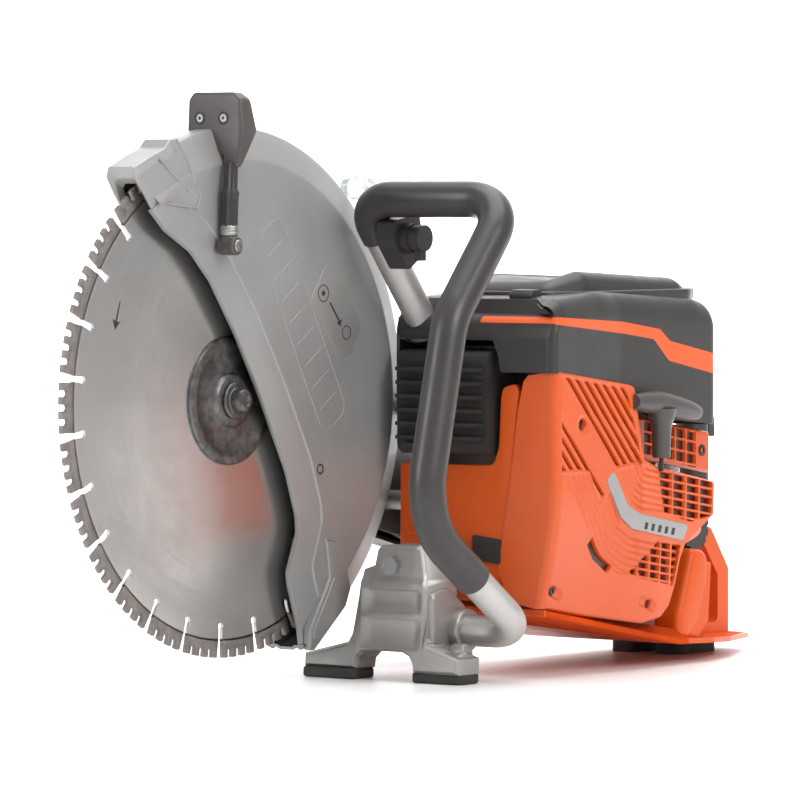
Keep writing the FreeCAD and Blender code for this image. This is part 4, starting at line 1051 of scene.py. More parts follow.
@dataclass
class AdjustingHandle:
    """The paddle that tilts the guard, with the water hose below its leg."""

    face_x: float = 29.5
    hose_x: float = 32.0
    hose_y: float = 28.0

    def paddle(self) -> Shell:
        """The paddle: its front outline given a depth that narrows towards the top and the foot."""
        front = [(-17, 435), (-16, 461), (-11, 466.8), (29, 466.8), (36.5, 461), (39, 436), (35, 408),
                 (21, 408),
                 (20.4, 435)]
        flat = plate(Axis.X, front, 0.0, 20.0, corner=[3, 5, 5, 6, 6, 20, 3, 3, 3], edge=3.4, steps=5,
                     corner_steps=9)
        z = flat.points[:, 2]
        back = np.interp(z, [405, 409, 427, 437, 463, 467], [27, 25, 13, 9, 15, 17])
        lean = np.interp(z, [405, 430, 467], [1.8, 0.6, -0.6])
        x = back + (self.face_x + lean - back) * flat.points[:, 0] / 20.0
        return Shell(np.column_stack([x, flat.points[:, 1], z]), flat.faces)

    def screw(self, y: float, z: float) -> Shell:
        """A socket screw in the front face."""
        x = self.face_x + 0.1
        return lathe(Axis.X, (y, z), [(0, x - 1), (3.2, x - 1), (3.4, x + 0.4), (3.0, x + 0.7),
                                      (1.5, x + 0.7),
                                   (1.3, x - 0.4), (0, x - 0.4)], 24, closed=False)

    def collar(self, y: float, z: float) -> Shell:
        """Dark ring of a screw's recess."""
        x = self.face_x
        return lathe(Axis.X, (y, z), [(3.3, x - 1), (5.0, x - 1), (5.2, x + 0.3), (4.4, x + 0.5),
                                      (3.4, x + 0.1)], 28)

    def hose(self) -> Shell:
        """Ribbed hose: the radius swells by 0.5 mm at eight ribs round it."""
        path = rounded([(28.8, self.hose_y - 0.6, 411), (31.4, self.hose_y + 0.4, 388),
                        (32, self.hose_y, 362)],
                       [0, 60, 0], closed=False, steps=16)
        swell = np.interp(np.linspace(0, 1, len(path)), [0, 0.5, 1], [5.4, 7.3, 6.6])
        smooth = tube(path, swell, 48)
        around = np.tile(np.linspace(0, 2 * math.pi, 48, endpoint=False), len(smooth.points) // 48)
        axis = np.repeat(np.vstack([path[:1], path, path[-1:]]), 48, axis=0)
        grown = axis + (smooth.points - axis) * (1 + 0.07 * np.cos(8 * around))[:, None]
        return Shell(grown, smooth.faces)

    def build(self) -> None:
        """Makes the paddle, its screws, the hose and its ends."""
        Piece("guard_paddle", "guard", "control_black", PADDLE, ("guard_handle",)).make(self.paddle())
        spots = ((-3.0, 446.6), (20.5, 446.6))
        Piece("paddle_screws", "guard", "machined_steel", STEEL).make(combined(self.screw(*s) for s in spots))
        Piece("paddle_rings", "guard", "control_black", RUBBER).make(combined(self.collar(*s) for s in spots))
        Piece("water_hose", "guard", "belt_rubber", HOSE, ("guard_hose",)).make(self.hose())
        ferrule = knob(Axis.Z, (self.hose_x, self.hose_y), 7.0, 355, 363, 0.8)
        grip = [lathe(Axis.Z, (self.hose_x, self.hose_y), [(7.0, z), (7.35, z + 0.5), (7.0, z + 1.0)],
                      40) for z in
                (356.5, 359.0, 361.0)]
        Piece("hose_ferrule", "guard", "machined_steel", STEEL).make(combined([ferrule] + grip))
        elbow = knob(Axis.Z, (self.hose_x, self.hose_y), 7.2, 341, 355, 2.0)
        barrel = knob(Axis.Y, (self.hose_x, 347.0), 7.4, 20.0, 36.6, 1.6)
        Piece("hose_elbow", "guard", "control_black", PADDLE, ("spray_nozzle",)).make(elbow + barrel)
        head = [(0, 36.0), (4.6, 36.0), (4.8, 37.6), (4.2, 38.2), (2.1, 38.2), (1.8, 37.0), (0, 37.0)]
        Piece("elbow_screw", "guard", "machined_steel", STEEL).make(
            lathe(Axis.Y, (self.hose_x, 347.0), head, 28, closed=False))


def round_edges(made: bpy.types.Object, width_mm: float, steps: int = 2) -> None:
    """Rounds a piece's edges that turn more than 12 degrees."""
    bevel = made.modifiers.new("round", "BEVEL")
    bevel.width = width_mm * MM
    bevel.segments = steps
    bevel.limit_method = "ANGLE"
    bevel.angle_limit = math.radians(12)
    bevel.harden_normals = True


# The body's left side -----------------------------------------------------------------------------

COVER_TOP = [(-404, 151), (-323, 166), (-318, 168), (-305, 173), (-302, 180), (-290, 232), (-284, 233.5),
             (-188, 246)]
COVER_FOOT = [(-404, 122), (-365, 100), (-358, 88), (-352, 66), (-345, 50), (-335, 42), (-311, 39),
              (-235, 49),
              (-186, 57)]
LOUVRES = [(-191, 242), (-282, 230), (-291, 202), (-302, 172), (-285, 170), (-266, 168)]
LOW_LOUVRES = [(-191, 213), (-250, 147), (-244, 139), (-229, 166), (-210, 168), (-191, 167)]
LOW_RIDGES = [(-190, 165), (-229, 164), (-244, 137), (-252, 145), (-260, 150), (-274, 121), (-296, 112),
              (-327, 106), (-300, 79), (-276, 81), (-255, 91), (-232, 117), (-206, 147)]
HIGH_RIDGES = [(-269, 166), (-303, 168), (-325, 163), (-333, 129), (-300, 132), (-284, 139)]
CRESCENT = [(-238, 114), (-231, 106), (-240, 95), (-261, 82), (-266, 88), (-250, 99), (-242, 110)]
BADGE_LINE = [(-120, 345), (-256, 161), (-277, 131), (-293, 122.5), (-363, 110), (-450, 95)]
CELLS_HIGH = [(-325, 163), (-402, 150), (-402, 123), (-372, 119), (-334, 127)]
CELLS_LOW = [(-327, 105), (-358, 100), (-350, 68), (-292, 78), (-291, 82)]


@dataclass
class StarterCover:
    """The orange cover: one height field that runs over the side and round the front corner."""

    side_y: float = 188.0
    front_x: float = -184.0
    corner: float = 7.0
    louvre_pitch: float = 7.8
    ridge_pitch: float = 5.3
    cut_depth: float = 4.6

    def bow(self, x: Points, z: Points) -> Points:
        """How far the side draws in towards its foot: (150 - z) / 90 to the power 1.5, most at the front."""
        low = np.clip((150.0 - z) / 90.0, 0.0, 1.2) ** 1.5
        return 15.0 * low * (0.25 + 0.75 * smooth_step(-330.0, -195.0, x))

    def cells(self, flat: Points, zone: Sequence[Sequence[float]], rise: float, size: tuple[float, float],
              start: tuple[float, float]) -> Points:
        """Share of depth in a grid of openings that leans by `rise` millimetres per millimetre of X."""
        along = (start[0] - flat[..., 0]) / size[0]
        down = (start[1] + rise * (flat[..., 0] - start[0]) - flat[..., 1]) / size[1]
        a = np.abs((along % 1.0) - 0.5) * size[0]
        b = np.abs((down % 1.0) - 0.5) * size[1]
        across = smooth_step(size[0] / 2 - 1.0, size[0] / 2 - 1.9, a)
        height = smooth_step(size[1] / 2 - 0.8, size[1] / 2 - 1.6, b)
        return across * height * smooth_step(-0.3, 0.5, signed_distance(flat, zone))

    def cuts(self, flat: Points) -> Points:
        """Share of depth of every opening: louvres, crescent, cells and screw wells."""
        across = (flat[..., 0] + 191.0) * 0.72 - (flat[..., 1] - 244.0) * 0.69
        stripe = np.abs((across / self.louvre_pitch % 1.0) - 0.5) * self.louvre_pitch
        slit = smooth_step(2.0, 1.2, stripe)
        result = slit * smooth_step(-0.2, 0.6, signed_distance(flat, LOUVRES))
        result = np.maximum(result, slit * smooth_step(-0.2, 0.6, signed_distance(flat, LOW_LOUVRES)))
        result = np.maximum(result, smooth_step(-0.3, 0.5, signed_distance(flat, CRESCENT))
                            * smooth_step(1.0, 1.5, np.abs(path_distance(flat, BADGE_LINE) - 42.0)))
        result = np.maximum(result, self.cells(flat, CELLS_HIGH, 0.155, (19.2, 6.9), (-325.5, 163.0)))
        result = np.maximum(result, self.cells(flat, CELLS_LOW, 0.16, (14.6, 6.4), (-300.5, 109.6)))
        hole = smooth_step(5.4, 4.2, np.linalg.norm(flat - np.array([-219.0, 203.0]), axis=-1))
        for x, z in ((-196.0, 71.0), (-318.0, 54.0)):
            hole = np.maximum(hole, smooth_step(4.2, 3.2, np.linalg.norm(flat - np.array([x, z]), axis=-1)))
        return np.maximum(result, hole)

    def relief(self, flat: Points) -> Points:
        """Depth below the side's surface, from ridges, field edges and openings."""
        away = path_distance(flat, BADGE_LINE)
        wave = 0.5 - 0.5 * np.cos(2 * math.pi * away / self.ridge_pitch)
        zone = np.maximum(smooth_step(-1.0, 1.5, signed_distance(flat, LOW_RIDGES)),
                          smooth_step(-1.0, 1.5, signed_distance(flat, HIGH_RIDGES)))
        depth = zone * (0.5 + 0.95 * wave)
        for field_edge in (LOUVRES, LOW_LOUVRES):
            depth = np.maximum(depth, 0.8 * smooth_step(-1.6, 0.0, signed_distance(flat, field_edge)))
        boss = np.linalg.norm(flat - np.array([-219.0, 203.0]), axis=-1)
        depth = depth + 0.6 * smooth_step(8.0, 6.5, boss)
        for x, z in ((-190.0, 72.0), (-308.0, 57.0)):
            ramp = path_distance(flat, [(x, z), (x - 14.0, z - 5.0)])
            depth = depth + 2.2 * smooth_step(5.5, 1.5, ramp)
        return depth

    def grid(self, inward: float) -> tuple[Points, Points]:
        """The surface and its openings.

        Columns run up from the foot to the top edge. Along the side they stand at X, round the corner on
        an arc, and on the front face they lean to meet the seam.

        Returns:
            (rows, columns, 3) points and (rows, columns) shares of depth.
        """
        rise = np.linspace(0.0, 1.0, 300)[:, None]
        x = np.linspace(-404.0, self.front_x - self.corner, 310)[None, :]
        top = np.interp(x, *zip(*COVER_TOP))
        foot = np.interp(x, *zip(*COVER_FOOT))
        z = foot + (top - foot) * rise
        x = np.broadcast_to(x, z.shape)
        flat = np.stack([x, z], axis=-1)
        cut = self.cuts(flat)
        edge = np.minimum(z - foot, top - z)
        roll = 2.0 * (1 - smooth_step(0.0, 2.4, edge)) ** 2
        deep = np.maximum(self.relief(flat), cut * self.cut_depth)
        y = self.side_y - self.bow(x, z) - (deep + roll if inward == 0 else inward)
        side = np.stack([x, y, z], axis=-1)
        turn = np.linspace(0.0, math.pi / 2, 8)[None, 1:]
        base = np.interp(rise, [0, 1], [57.0, 246.0])
        centre_y = self.side_y - self.bow(np.full_like(base, self.front_x), base) - self.corner
        size = self.corner - inward
        bend = np.stack([self.front_x - self.corner + size * np.sin(turn) + 0 * base,
                         centre_y + size * np.cos(turn), base + 0 * turn], axis=-1)
        share = np.linspace(0.0, 1.0, 30)[None, 1:]
        seam = np.interp(rise, [0, 0.12, 0.55, 0.93, 1.0], [138.0, 129.0, 141.0, 149.0, 152.0])
        front_top = np.interp(share, [0, 0.75, 0.92, 1.0], [246.0, 243.0, 238.0, 228.0])
        front_foot = np.interp(share, [0, 0.6, 1.0], [57.0, 60.0, 66.0])
        front = np.stack([self.front_x - inward + 0 * rise + 0 * share,
                          centre_y + (seam - centre_y) * share,
                          front_foot + (front_top - front_foot) * rise], axis=-1)
        points = np.concatenate([side, bend, front], axis=1)
        plain = np.zeros((len(rise), turn.size + share.size))
        return points, np.concatenate([cut, plain], axis=1)

    def badge(self) -> Shell:
        """Grey band with a bend, left plain."""
        outline = [(-261, 165), (-251.5, 157), (-271, 127), (-287, 117), (-359, 104), (-367, 116.5),
                   (-299, 128.5),
                   (-281, 136)]
        return plate(Axis.Y, outline, 186.0, 188.5, corner=[3, 4, 12, 14, 3, 3, 14, 10], edge=0.5)

    def badge_bars(self) -> Shell:
        """Five plain slanted bars on the band, in place of lettering."""
        bars = []
        for k in range(5):
            x, z = -303.0 - 9.5 * k, 118.6 - 1.55 * k
            bars.append(plate(Axis.Y, [(x, z - 2.6), (x - 4.4, z - 3.3), (x - 6.4, z + 2.3),
                                       (x - 2.0, z + 3.0)], 188.4,
                              188.62, edge=0.08, steps=1))
        return combined(bars)

    def screws(self) -> Shell:
        """Socket screws at the bottoms of their wells."""
        heads = []
        for x, z, y in ((-196, 71, 172.5), (-318, 54, 176.5)):
            heads.append(lathe(Axis.Y, (x, z), [(0, y), (3.3, y), (3.4, y + 1.6), (1.6, y + 1.8),
                                                (1.4, y + 0.8),
                                             (0, y + 0.8)], 24, closed=False))
        return combined(heads)

    def build(self) -> None:
        """Makes the cover, its badge and its screws."""
        outer, cut = self.grid(0.0)
        inner = self.grid(6.2)[0]
        made = Piece("side_cover", "root", "orange_cover", VENTS_PAINTED_SHADE, ("starter_cover", "cover_screws"),
                     sharp_deg=50).make(slab(outer, inner), weld=False)
        # The openings' shares of depth also mark where painted shade darkens the cover.
        attribute(made, "opening", np.concatenate([cut.ravel(), cut.ravel()]))
        Piece("badge", "root", "plate_black", BADGE).make(self.badge())
        Piece("badge_bars", "root", "plate_black", CONTROL).make(self.badge_bars())
        Piece("well_screws", "root", "machined_steel", BLACK_STEEL).make(self.screws())


@dataclass
class Cowl:
    """The dark hood: rings that rise from its lower edge and close over its top."""

    left: float = 187.0
    right: float = 25.0
    front: float = -180.5
    rear: float = -433.0

    def rim(self) -> Points:
        """The hood's outline seen from above."""
        corners = [(self.front, self.right), (self.front, 186.5), (-186, self.left), (-284, 178.5),
                   (-425, 176),
                   (self.rear, 160), (self.rear, self.right)]
        line = rounded(corners, [10, 7, 6, 40, 14, 14, 10], steps=8)
        return resampled(np.vstack([line, line[:1]]), 2.2)[:-1]

    def foot(self, flat: Points) -> Points:
        """Height of the lower edge below each point of the outline."""
        x, y = flat[:, 0], flat[:, 1]
        side = np.interp(x, [-433, -322, -318, -299, -287, -186], [196, 206, 208, 212, 232, 245])
        front = np.interp(y, [30, 110, 126, 132, 134, 190], [277, 277.5, 272, 258, 245, 245])
        return np.where(x > -183.5, front, np.where(y > 120, side, 215.0))

    def crown(self, x: Points) -> Points:
        """Height of the top along X."""
        return np.interp(x, [-433, -425, -400, -260, -200, -186, -180], [286, 296, 302, 309, 304, 298, 291])

    def grid(self, inward: float) -> Points:
        """Rings from the lower edge to the crown: upright to 16 mm below the crown, then a shoulder that
        curves in, then the flat top."""
        flat = self.rim()
        normal = outline_normals(flat)
        low = self.foot(flat)
        high = self.crown(flat[:, 0]) - inward
        rings = []
        for t in np.linspace(0, 1, 26):
            z = low + (high - 19.0 - low) * t
            rings.append(np.column_stack([flat - normal * inward, z]))
        for t in np.linspace(0, 1, 13)[1:]:
            turn = t * math.pi / 2
            inset = 3.0 * t + 11.0 * (1 - math.cos(turn))
            z = high - 19.0 + 19.0 * math.sin(turn)
            rings.append(np.column_stack([flat - normal * (inward + inset), z]))
        top = rings[-1]
        spine = np.column_stack([np.clip(top[:, 0], self.rear + 60, self.front - 60),
                                 np.full(len(top), (self.left + self.right) / 2)])
        for t in np.linspace(0, 1, 16)[1:]:
            place = top[:, :2] + (spine - top[:, :2]) * min(t, 0.995)
            rings.append(np.column_stack([place,
                                          self.crown(place[:, 0]) - inward + 1.2 * math.sin(t * 1.57)]))
        return np.stack(rings)

    def hood(self) -> tuple[Shell, Points]:
        """The hood's shell, with a wall of 2.4 mm, and its stripe's signed distance for each vertex."""
        outer, inner = self.grid(0.0), self.grid(2.4)
        rows, cols = outer.shape[:2]
        count = rows * cols
        quads = grid_faces(rows, cols, wrap_cols=True)
        low = np.arange(cols)
        after = np.roll(low, -1)
        foot = np.stack([low, after, after + count, low + count], axis=1)
        top = np.arange(cols) + (rows - 1) * cols
        faces = np.vstack([quads, quads[:, ::-1] + count, foot]).tolist()
        faces += [top.tolist(), (top[::-1] + count).tolist()]
        points = np.vstack([outer.reshape(-1, 3), inner.reshape(-1, 3)])
        shape = Shell(points, faces)
        side = [(-150, 293), (-177, 290), (-287, 284), (-341, 277), (-356, 267), (-440, 252), (-440, 235),
                (-408, 241), (-354, 251), (-332, 269), (-287, 274.5), (-182, 284), (-150, 286)]
        stripe = signed_distance(points[:, [0, 2]], side)
        front = np.minimum(points[:, 2] - 284.6, 290.0 - points[:, 2])
        stripe = np.where(points[:, 0] > -184.5, front, stripe)
        stripe = np.where(points[:, 1] < 110, -5.0, stripe)
        stripe[count:] = -5.0
        return shape, stripe

    def lid(self) -> Shell:
        """The air filter's lid: a rounded plate whose top falls towards its ends."""
        outline = [(-214, 60), (-222, 150), (-262, 164), (-400, 162), (-432, 146), (-436, 60), (-400, 46),
                   (-250, 46)]
        flat = plate(Axis.Z, outline, 299.0, 325.0, corner=[18, 16, 30, 26, 16, 16, 26, 26], edge=9.0,
                     steps=8,
                     corner_steps=10, taper=7.0)
        share = (flat.points[:, 2] - 299.0) / 26.0
        top = np.interp(flat.points[:, 0], [-436, -425, -380, -300, -262, -214],
                        [306, 312, 321, 325, 324.5, 311])
        z = 299.0 + share * (top - 299.0)
        return Shell(np.column_stack([flat.points[:, :2], z]), flat.faces)

    def seam(self) -> Shell:
        """Rubber line under the lid."""
        outline = [(-210, 58), (-218, 152), (-260, 167), (-402, 165), (-434, 148), (-437, 58), (-402, 43),
                   (-248, 43)]
        return plate(Axis.Z, outline, 300.0, 309.0, corner=[18, 16, 30, 26, 16, 16, 26, 26], edge=2.0,
                     steps=3,
                     corner_steps=10)

    def catch(self) -> Shell:
        """Spring catch in front of the lid, and the round knob screw on the hood's side."""
        bar = plate(Axis.Y, [(-196, 303), (-203, 310.5), (-214, 311), (-216, 304)], 128, 150, corner=2.5,
                    edge=1.2)
        pin = knob(Axis.Z, (-384, 152), 5.0, 303, 307.5, 1.2)
        return bar + pin

    def build(self) -> None:
        """Makes the hood, lid and catch."""
        shape, stripe = self.hood()
        made = Piece("hood", "root", "dark_cover", STRIPED, ("top_cowl",), sharp_deg=40).make(shape,
                                                                                              weld=False)
        attribute(made, "stripe", stripe)
        Piece("filter_lid", "root", "dark_cover", DARK, ("filter_cover",)).make(self.lid())
        Piece("lid_seam", "root", "dark_cover", DARK).make(self.seam())
        Piece("lid_catch", "root", "dark_cover", RUBBER).make(self.catch())


@dataclass
class PullHandle:
    """The starter's T handle and its rope."""

    y: float = 189.5

    def grip(self) -> Shell:
        """A bar that swells in the middle, on a stem that widens upwards."""
        path = rounded([(-288, self.y, 219.5), (-322, self.y, 218.0), (-377, self.y, 208.0)], [0, 60, 0],
                       closed=False,
                       steps=14)
        path = resampled(path, 2.2)
        t = np.linspace(0, 1, len(path))
        radius = 9.6 * np.clip(np.sin(math.pi * np.clip(0.05 + 0.9 * t, 0, 1)) ** 0.28, 0, 1)
        bar = tube(path, radius, 36, reference=(0.0, 1.0, 0.0))
        z = np.linspace(0, 1, 20)
        stem_path = np.column_stack([np.full(20, -326.0), np.full(20, self.y), 173.0 + 40.0 * z])
        stem = tube(stem_path, 7.4 + 1.0 * z + 3.9 * smooth_step(0.55, 1.0, z), 36, reference=(0.0, 1.0, 0.0))
        return bar + stem

    def build(self) -> None:
        """Makes the handle and the rope that pays out below it."""
        Piece("pull_grip", "pull", "control_black", PADDLE, ("pull_handle",)).make(self.grip())
        path = np.column_stack([np.full(24, -326.0), np.full(24, self.y), np.linspace(162.0, 176.0, 24)])
        made = Piece("starter_rope", "root", "belt_rubber", RUBBER).make(
            tube(path, 1.9, 14, reference=(0.0, 1.0, 0.0)), ride=False)
        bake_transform(made)


@dataclass
class RearUnit:
    """The skid plate, the fender, the wing's boss and the grille behind the T handle."""

    def grille(self) -> tuple[Shell, Points]:
        """A plate with three rows of openings, sunk behind the T handle."""
        u = np.linspace(-433.0, -300.0, 190)[None, :]
        top = np.interp(u, [-433, -300], [190.0, 210.0])
        foot = np.interp(u, [-433, -300], [156.0, 176.0])
        rise = np.linspace(0, 1, 60)[:, None]
        z = foot + (top - foot) * rise
        flat = np.stack([np.broadcast_to(u, z.shape), z], axis=-1)
        zone = [(-338, 203), (-338, 174), (-412, 161), (-412, 190)]
        cut = StarterCover().cells(flat, zone, 0.155, (15.5, 9.6), (-336.5, 203.4))
        edge = np.minimum(np.minimum(z - foot, top - z), np.minimum(u + 433.0, -300.0 - u))
        roll = 2.0 * (1 - smooth_step(0.0, 2.5, edge)) ** 2
        front = np.stack([flat[..., 0], 164.0 - roll - 3.6 * cut, z], axis=-1)
        back = np.stack([flat[..., 0], np.full_like(z, 158.4), z], axis=-1)
        return slab(front, back), np.concatenate([cut.ravel(), cut.ravel()])

    def skid(self) -> Shell:
        """The sloping plate that the covers stand on, with rounded edges."""
        outline = [(-190, 174), (-378, 174), (-470, 160), (-556, 116), (-556, 32), (-470, 22), (-190, 22)]
        flat = plate(Axis.Z, outline, 0.0, 5.0, corner=[4, 30, 30, 10, 10, 30, 4], edge=1.4, steps=3)
        x = flat.points[:, 0]
        height = np.interp(x, [-556, -372, -190], [9.4, 17.5, 50.5])
        return Shell(np.column_stack([flat.points[:, :2], flat.points[:, 2] + height]), flat.faces)

    def fender(self) -> Shell:
        """The rounded fin between the cover and the rear stand."""
        outline = [(-404, 95), (-429, 92), (-427, 66), (-414, 34), (-400, 18), (-384, 20), (-384, 40),
                   (-396, 72)]
        return plate(Axis.Y, outline, 140, 167, corner=[10, 12, 16, 14, 6, 6, 10, 20], edge=6.0, steps=6)

    def boss(self) -> Shell:
        """Rounded end of the cover's upper wing, above the fender."""
        t = np.linspace(0, 1, 14)[:, None]
        path = np.array([-366.0, 178.0, 107.0]) * (1 - t) + np.array([-399.0, 172.0, 114.0]) * t
        radius = 8.6 * np.sqrt(np.clip(1 - (2 * t[:, 0] - 1) ** 6, 0.04, 1))
        return tube(path, radius, 28, reference=(0.0, 0.0, 1.0))

    def build(self) -> None:
        """Makes the rear unit's pieces."""
        shape, cut = self.grille()
        made = Piece("rear_grille", "root", "orange_cover", VENTS_PAINTED_SHADE, sharp_deg=50).make(shape, weld=False)
        # The openings' shares of depth also mark where painted shade darkens the grille.
        attribute(made, "opening", cut)
        screw = lathe(Axis.Y, (-421, 175), [(0, 161), (4.6, 161), (4.8, 164.6), (2.4, 165), (2.0, 163.6),
                                            (0, 163.6)], 28,
                      closed=False)
        Piece("grille_screw", "root", "machined_steel", RUBBER).make(screw)
        Piece("skid_plate", "root", "orange_cover", SKID).make(self.skid())
        Piece("fender", "root", "orange_cover", ORANGE).make(self.fender())
        Piece("wing_boss", "root", "orange_cover", ORANGE).make(self.boss())


@dataclass
class FrontStand:
    """The cast stand: a front face with scoops over an arch, its two feet, and the boss for the handle."""

    top: tuple[tuple[float, float], ...] = (
        (-7, 19), (36, 29.5), (40, 36), (46, 72), (49.5, 88), (60, 91.5), (62.5, 104), (66, 107.5),
        (103, 108.5),
        (107.5, 106), (113.5, 76), (114.5, 36), (118, 30), (149, 20.5))
    foot: tuple[tuple[float, float], ...] = (
        (-7, 8), (45, 8), (46.5, 16), (53, 22), (62, 23.8), (92, 23.8), (99, 21), (103, 15), (104, 8),
        (149, 8))

    def face(self, inward: float) -> Points:
        """The front face, or the back when `inward` is above zero.

        The front leans back by 0.065 mm per mm of height. Two scoops sink into it, each a circular arc
        in height and a plateau across.
        """
        y = np.linspace(-7.0, 149.0, 260)[None, :]
        rise = np.linspace(0, 1, 150)[:, None]
        top, foot = np.interp(y, *zip(*self.top)), np.interp(y, *zip(*self.foot))
        z = foot + (top - foot) * rise
        y = np.broadcast_to(y, z.shape)
        if inward:
            x = np.interp(z, [8, 22, 34, 60, 108], [-132, -132, -148, -150, -150])
            return np.stack([x, y, z], axis=-1)
        slope = smooth_step(98.0, 118.0, y) * smooth_step(30.0, 44.0, z)
        side_flat = np.stack([y, z], axis=-1)
        outline = list(self.top) + list(self.foot)[::-1]
        edge = signed_distance(side_flat, outline)
        roll = 3.2 * (1 - smooth_step(-0.2, 4.0, edge)) ** 2
        upper = np.clip(1 - np.abs(z - 64.0) / 9.5, 0, 1)
        lower = np.clip(1 - np.abs(z - 38.0) / 12.5, 0, 1)
        across = smooth_step(50.0, 62.0, y) * smooth_step(113.0, 103.0, y)
        scoop = (np.sqrt(np.clip(1 - (1 - upper) ** 2, 0, 1)) * 3.6
                 + np.sqrt(np.clip(1 - (1 - lower) ** 2, 0, 1)) * 3.0)
        step = 2.4 * smooth_step(84.0, 78.0, z) * smooth_step(46.0, 52.0, y)
        x = -104.5 - 0.065 * (z - 8.0) + step - scoop * across - roll - 2.0 * slope
        return np.stack([x, y, z], axis=-1)

    def boss(self) -> Shell:
        """Boss that takes the end of the handle, with the web that joins it to the leg."""
        round_boss = knob(Axis.Y, (-150, 40), 17.5, 106, 126, 2.5)
        web = plate(Axis.Y, [(-112, 24), (-112, 70), (-134, 76), (-160, 58), (-166, 24)], 104, 118,
                    corner=[3, 6, 14, 16, 4], edge=4.0, steps=5)
        toe = plate(Axis.Y, [(-108, 10), (-110, 22), (-122, 27), (-131, 24), (-132, 10)], 112, 146,
                    corner=[2, 3, 6, 4, 2], edge=4.0, steps=5)
        ear = knob(Axis.Y, (-124, 24), 8.0, 130, 144, 2.5)
        return combined([round_boss, web, toe, ear])

    def pads(self) -> Shell:
        """Rubber pads with rounded edges."""
        right = plate(Axis.Z, [(-101.5, -7), (-132, -7), (-132, 47), (-101.5, 47)], 0.0, 8.6, corner=6,
                      edge=2.6, steps=4)
        left = plate(Axis.Z, [(-103.5, 101), (-134, 101), (-134, 150), (-106, 150)], 0.0, 8.6, corner=6,
                     edge=2.6, steps=4)
        return right + left

    def build(self) -> None:
        """Makes the stand and its pads."""
        Piece("stand_casting", "root", "cast_silver", CASTING, ("front_support",), sharp_deg=60).make(
            slab(self.face(0.0), self.face(1.0)))
        Piece("stand_boss", "root", "cast_silver", CASTING).make(self.boss())
        Piece("stand_pads", "root", "foot_rubber", PAD, ("front_feet",)).make(self.pads())


@dataclass
class FrontPanel:
    """The orange panel beside the muffler, up to the cover's seam."""

    def panel(self) -> Shell:
        """The panel with its tall right wing."""
        outline = [(30, 62), (138, 60), (129.5, 80), (135, 120), (141, 161), (147, 215), (149, 229),
                   (146, 236),
                   (133, 233), (131, 224), (129, 186), (124, 170), (30, 170)]
        return plate(Axis.X, outline, -191.0, -185.2, corner=[4, 2, 6, 20, 20, 20, 4, 4, 6, 20, 20, 8, 3],
                     edge=1.0)

    def ribs(self) -> Shell:
        """Low ribs across the panel beside the guard."""
        bars = [plate(Axis.X, [(34, z), (74, z), (74, z + 1.8), (34, z + 1.8)], -186.0, -184.4, corner=0.8,
                      edge=0.5)
                for z in range(112, 160, 8)]
        return combined(bars)

    def build(self) -> None:
        """Makes the panel and its ribs."""
        Piece("muffler_panel", "root", "orange_cover", ORANGE, ("front_panel",)).make(self.panel())
        Piece("panel_ribs", "root", "orange_cover", ORANGE).make(self.ribs())


# Stage ------------------------------------------------------------------------------------------

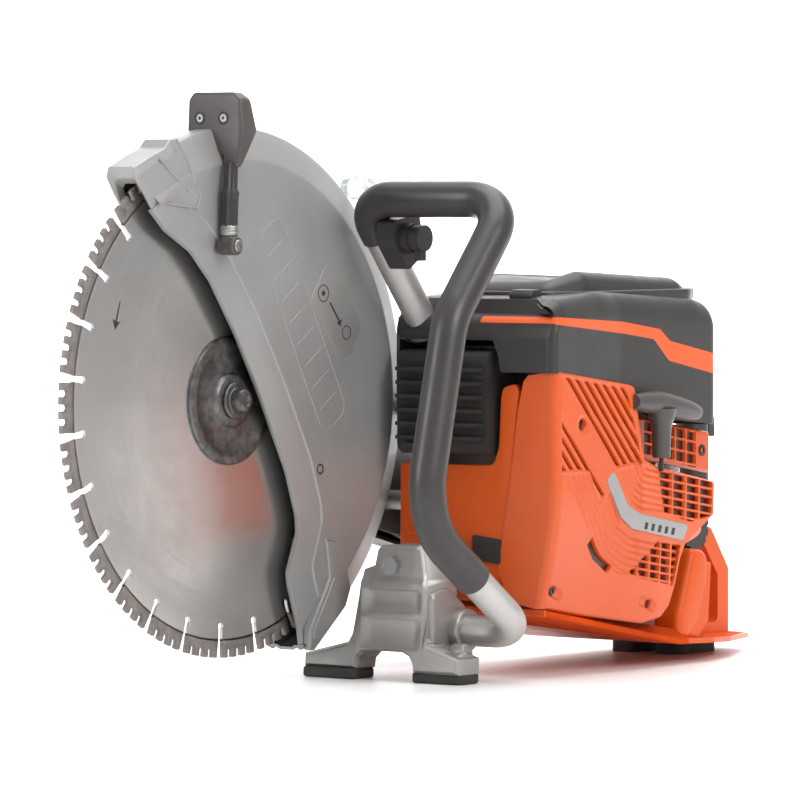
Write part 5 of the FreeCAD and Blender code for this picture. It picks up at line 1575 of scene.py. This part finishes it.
@dataclass
class Stage:
    """The camera, the pale floor and the soft studio lights."""

    eye_mm: tuple[float, float, float] = (3673.9, 2968.3, 397.1)
    look: tuple[float, float, float] = (-0.7951, -0.6054, -0.0364)
    lens_mm: float = 270.0
    sensor_mm: float = 36.0
    floor_reach: float = 14.0
    wall_start: float = 2.0
    wall_bend: float = 3.0
    wall_top: float = 9.0

    def camera(self) -> None:
        """Sets the camera at the studio's viewpoint."""
        data = bpy.data.cameras.new("camera")
        data.lens = self.lens_mm
        data.sensor_width = self.sensor_mm
        data.clip_end = 60.0
        made = bpy.data.objects.new("camera", data)
        made.location = to_frame(np.array(self.eye_mm))
        made.rotation_euler = Vector(self.look).to_track_quat("-Z", "Y").to_euler()
        bpy.context.scene.collection.objects.link(made)
        bpy.context.scene.camera = made

    def floor(self) -> None:
        """A plain pale floor that curves up into a wall behind the object."""
        turn = np.linspace(0, math.pi / 2, 40)
        bend = self.wall_start + self.wall_bend * np.sin(turn)
        away = np.concatenate([[-self.floor_reach], bend, [self.wall_start + self.wall_bend]])
        height = np.concatenate([[0.0], self.wall_bend * (1 - np.cos(turn)), [self.wall_top]])
        back = np.array(self.look[:2]) / np.linalg.norm(self.look[:2])
        along = np.array([-back[1], back[0]])
        edges = [back[None, :] * away[:, None] + along[None, :] * reach
                 for reach in (-self.floor_reach, self.floor_reach)]
        grid = np.stack([np.column_stack([edge, height]) for edge in edges], axis=1)
        mesh = bpy.data.meshes.new("floor")
        mesh.from_pydata(grid.reshape(-1, 3).tolist(), [], grid_faces(len(away), 2).tolist())
        mesh.shade_smooth()
        made = bpy.data.objects.new("floor", mesh)
        graph = Graph("pale_floor")
        graph.shader.inputs["Base Color"].default_value = (0.90, 0.90, 0.90, 1.0)
        graph.shader.inputs["Roughness"].default_value = 0.45
        graph.shader.inputs["Specular IOR Level"].default_value = 0.25
        made.data.materials.append(graph.material)
        bpy.context.scene.collection.objects.link(made)

    def light(self, name: str, place: tuple[float, float, float], target: tuple[float, float, float],
              size: tuple[float, float], watts: float) -> None:
        """One soft box aimed at a point."""
        data = bpy.data.lights.new(name, "AREA")
        data.shape = "RECTANGLE"
        data.size, data.size_y = size
        data.energy = watts
        made = bpy.data.objects.new(name, data)
        made.location = place
        made.rotation_euler = (Vector(target) - Vector(place)).to_track_quat("-Z", "Y").to_euler()
        bpy.context.scene.collection.objects.link(made)

    def lights(self) -> None:
        """Soft boxes and a white surround."""
        boxes = (("left_box", (0.6, 2.6, 1.7), (0, 0, 0.2), (1.4, 1.4), 44.0),
                 ("front_box", (2.6, -1.2, 1.2), (0, 0, 0.25), (0.9, 1.6), 30.0),
                 ("top_box", (-0.3, 0.1, 2.6), (0, 0, 0), (2.4, 2.4), 62.0),
                 ("wall_box", (-1.2, -0.8, 3.4), (-4.2, -3.2, 1.6), (3.5, 3.5), 340.0))
        for box in boxes:
            self.light(*box)
        world = bpy.data.worlds.new("surround")
        bpy.context.scene.world = world
        world.use_nodes = True
        back = world.node_tree.nodes["Background"]
        back.inputs["Color"].default_value = (1.0, 1.0, 1.0, 1.0)
        back.inputs["Strength"].default_value = 0.55

    def build(self) -> None:
        """Camera, floor and lights."""
        self.camera()
        self.floor()
        self.lights()
        bpy.context.scene.view_settings.view_transform = "Standard"


def main() -> None:
    """Builds the stage and every sub-assembly in order."""
    logging.basicConfig(level=logging.INFO, format="%(name)s %(message)s")
    Stage().build()
    dress_frame()
    BladeSet().build()
    Guard().build()
    AdjustingHandle().build()
    StarterCover().build()
    Cowl().build()
    PullHandle().build()
    RearUnit().build()
    FrontStand().build()
    FrontPanel().build()


if __name__ == "__main__":
    main()
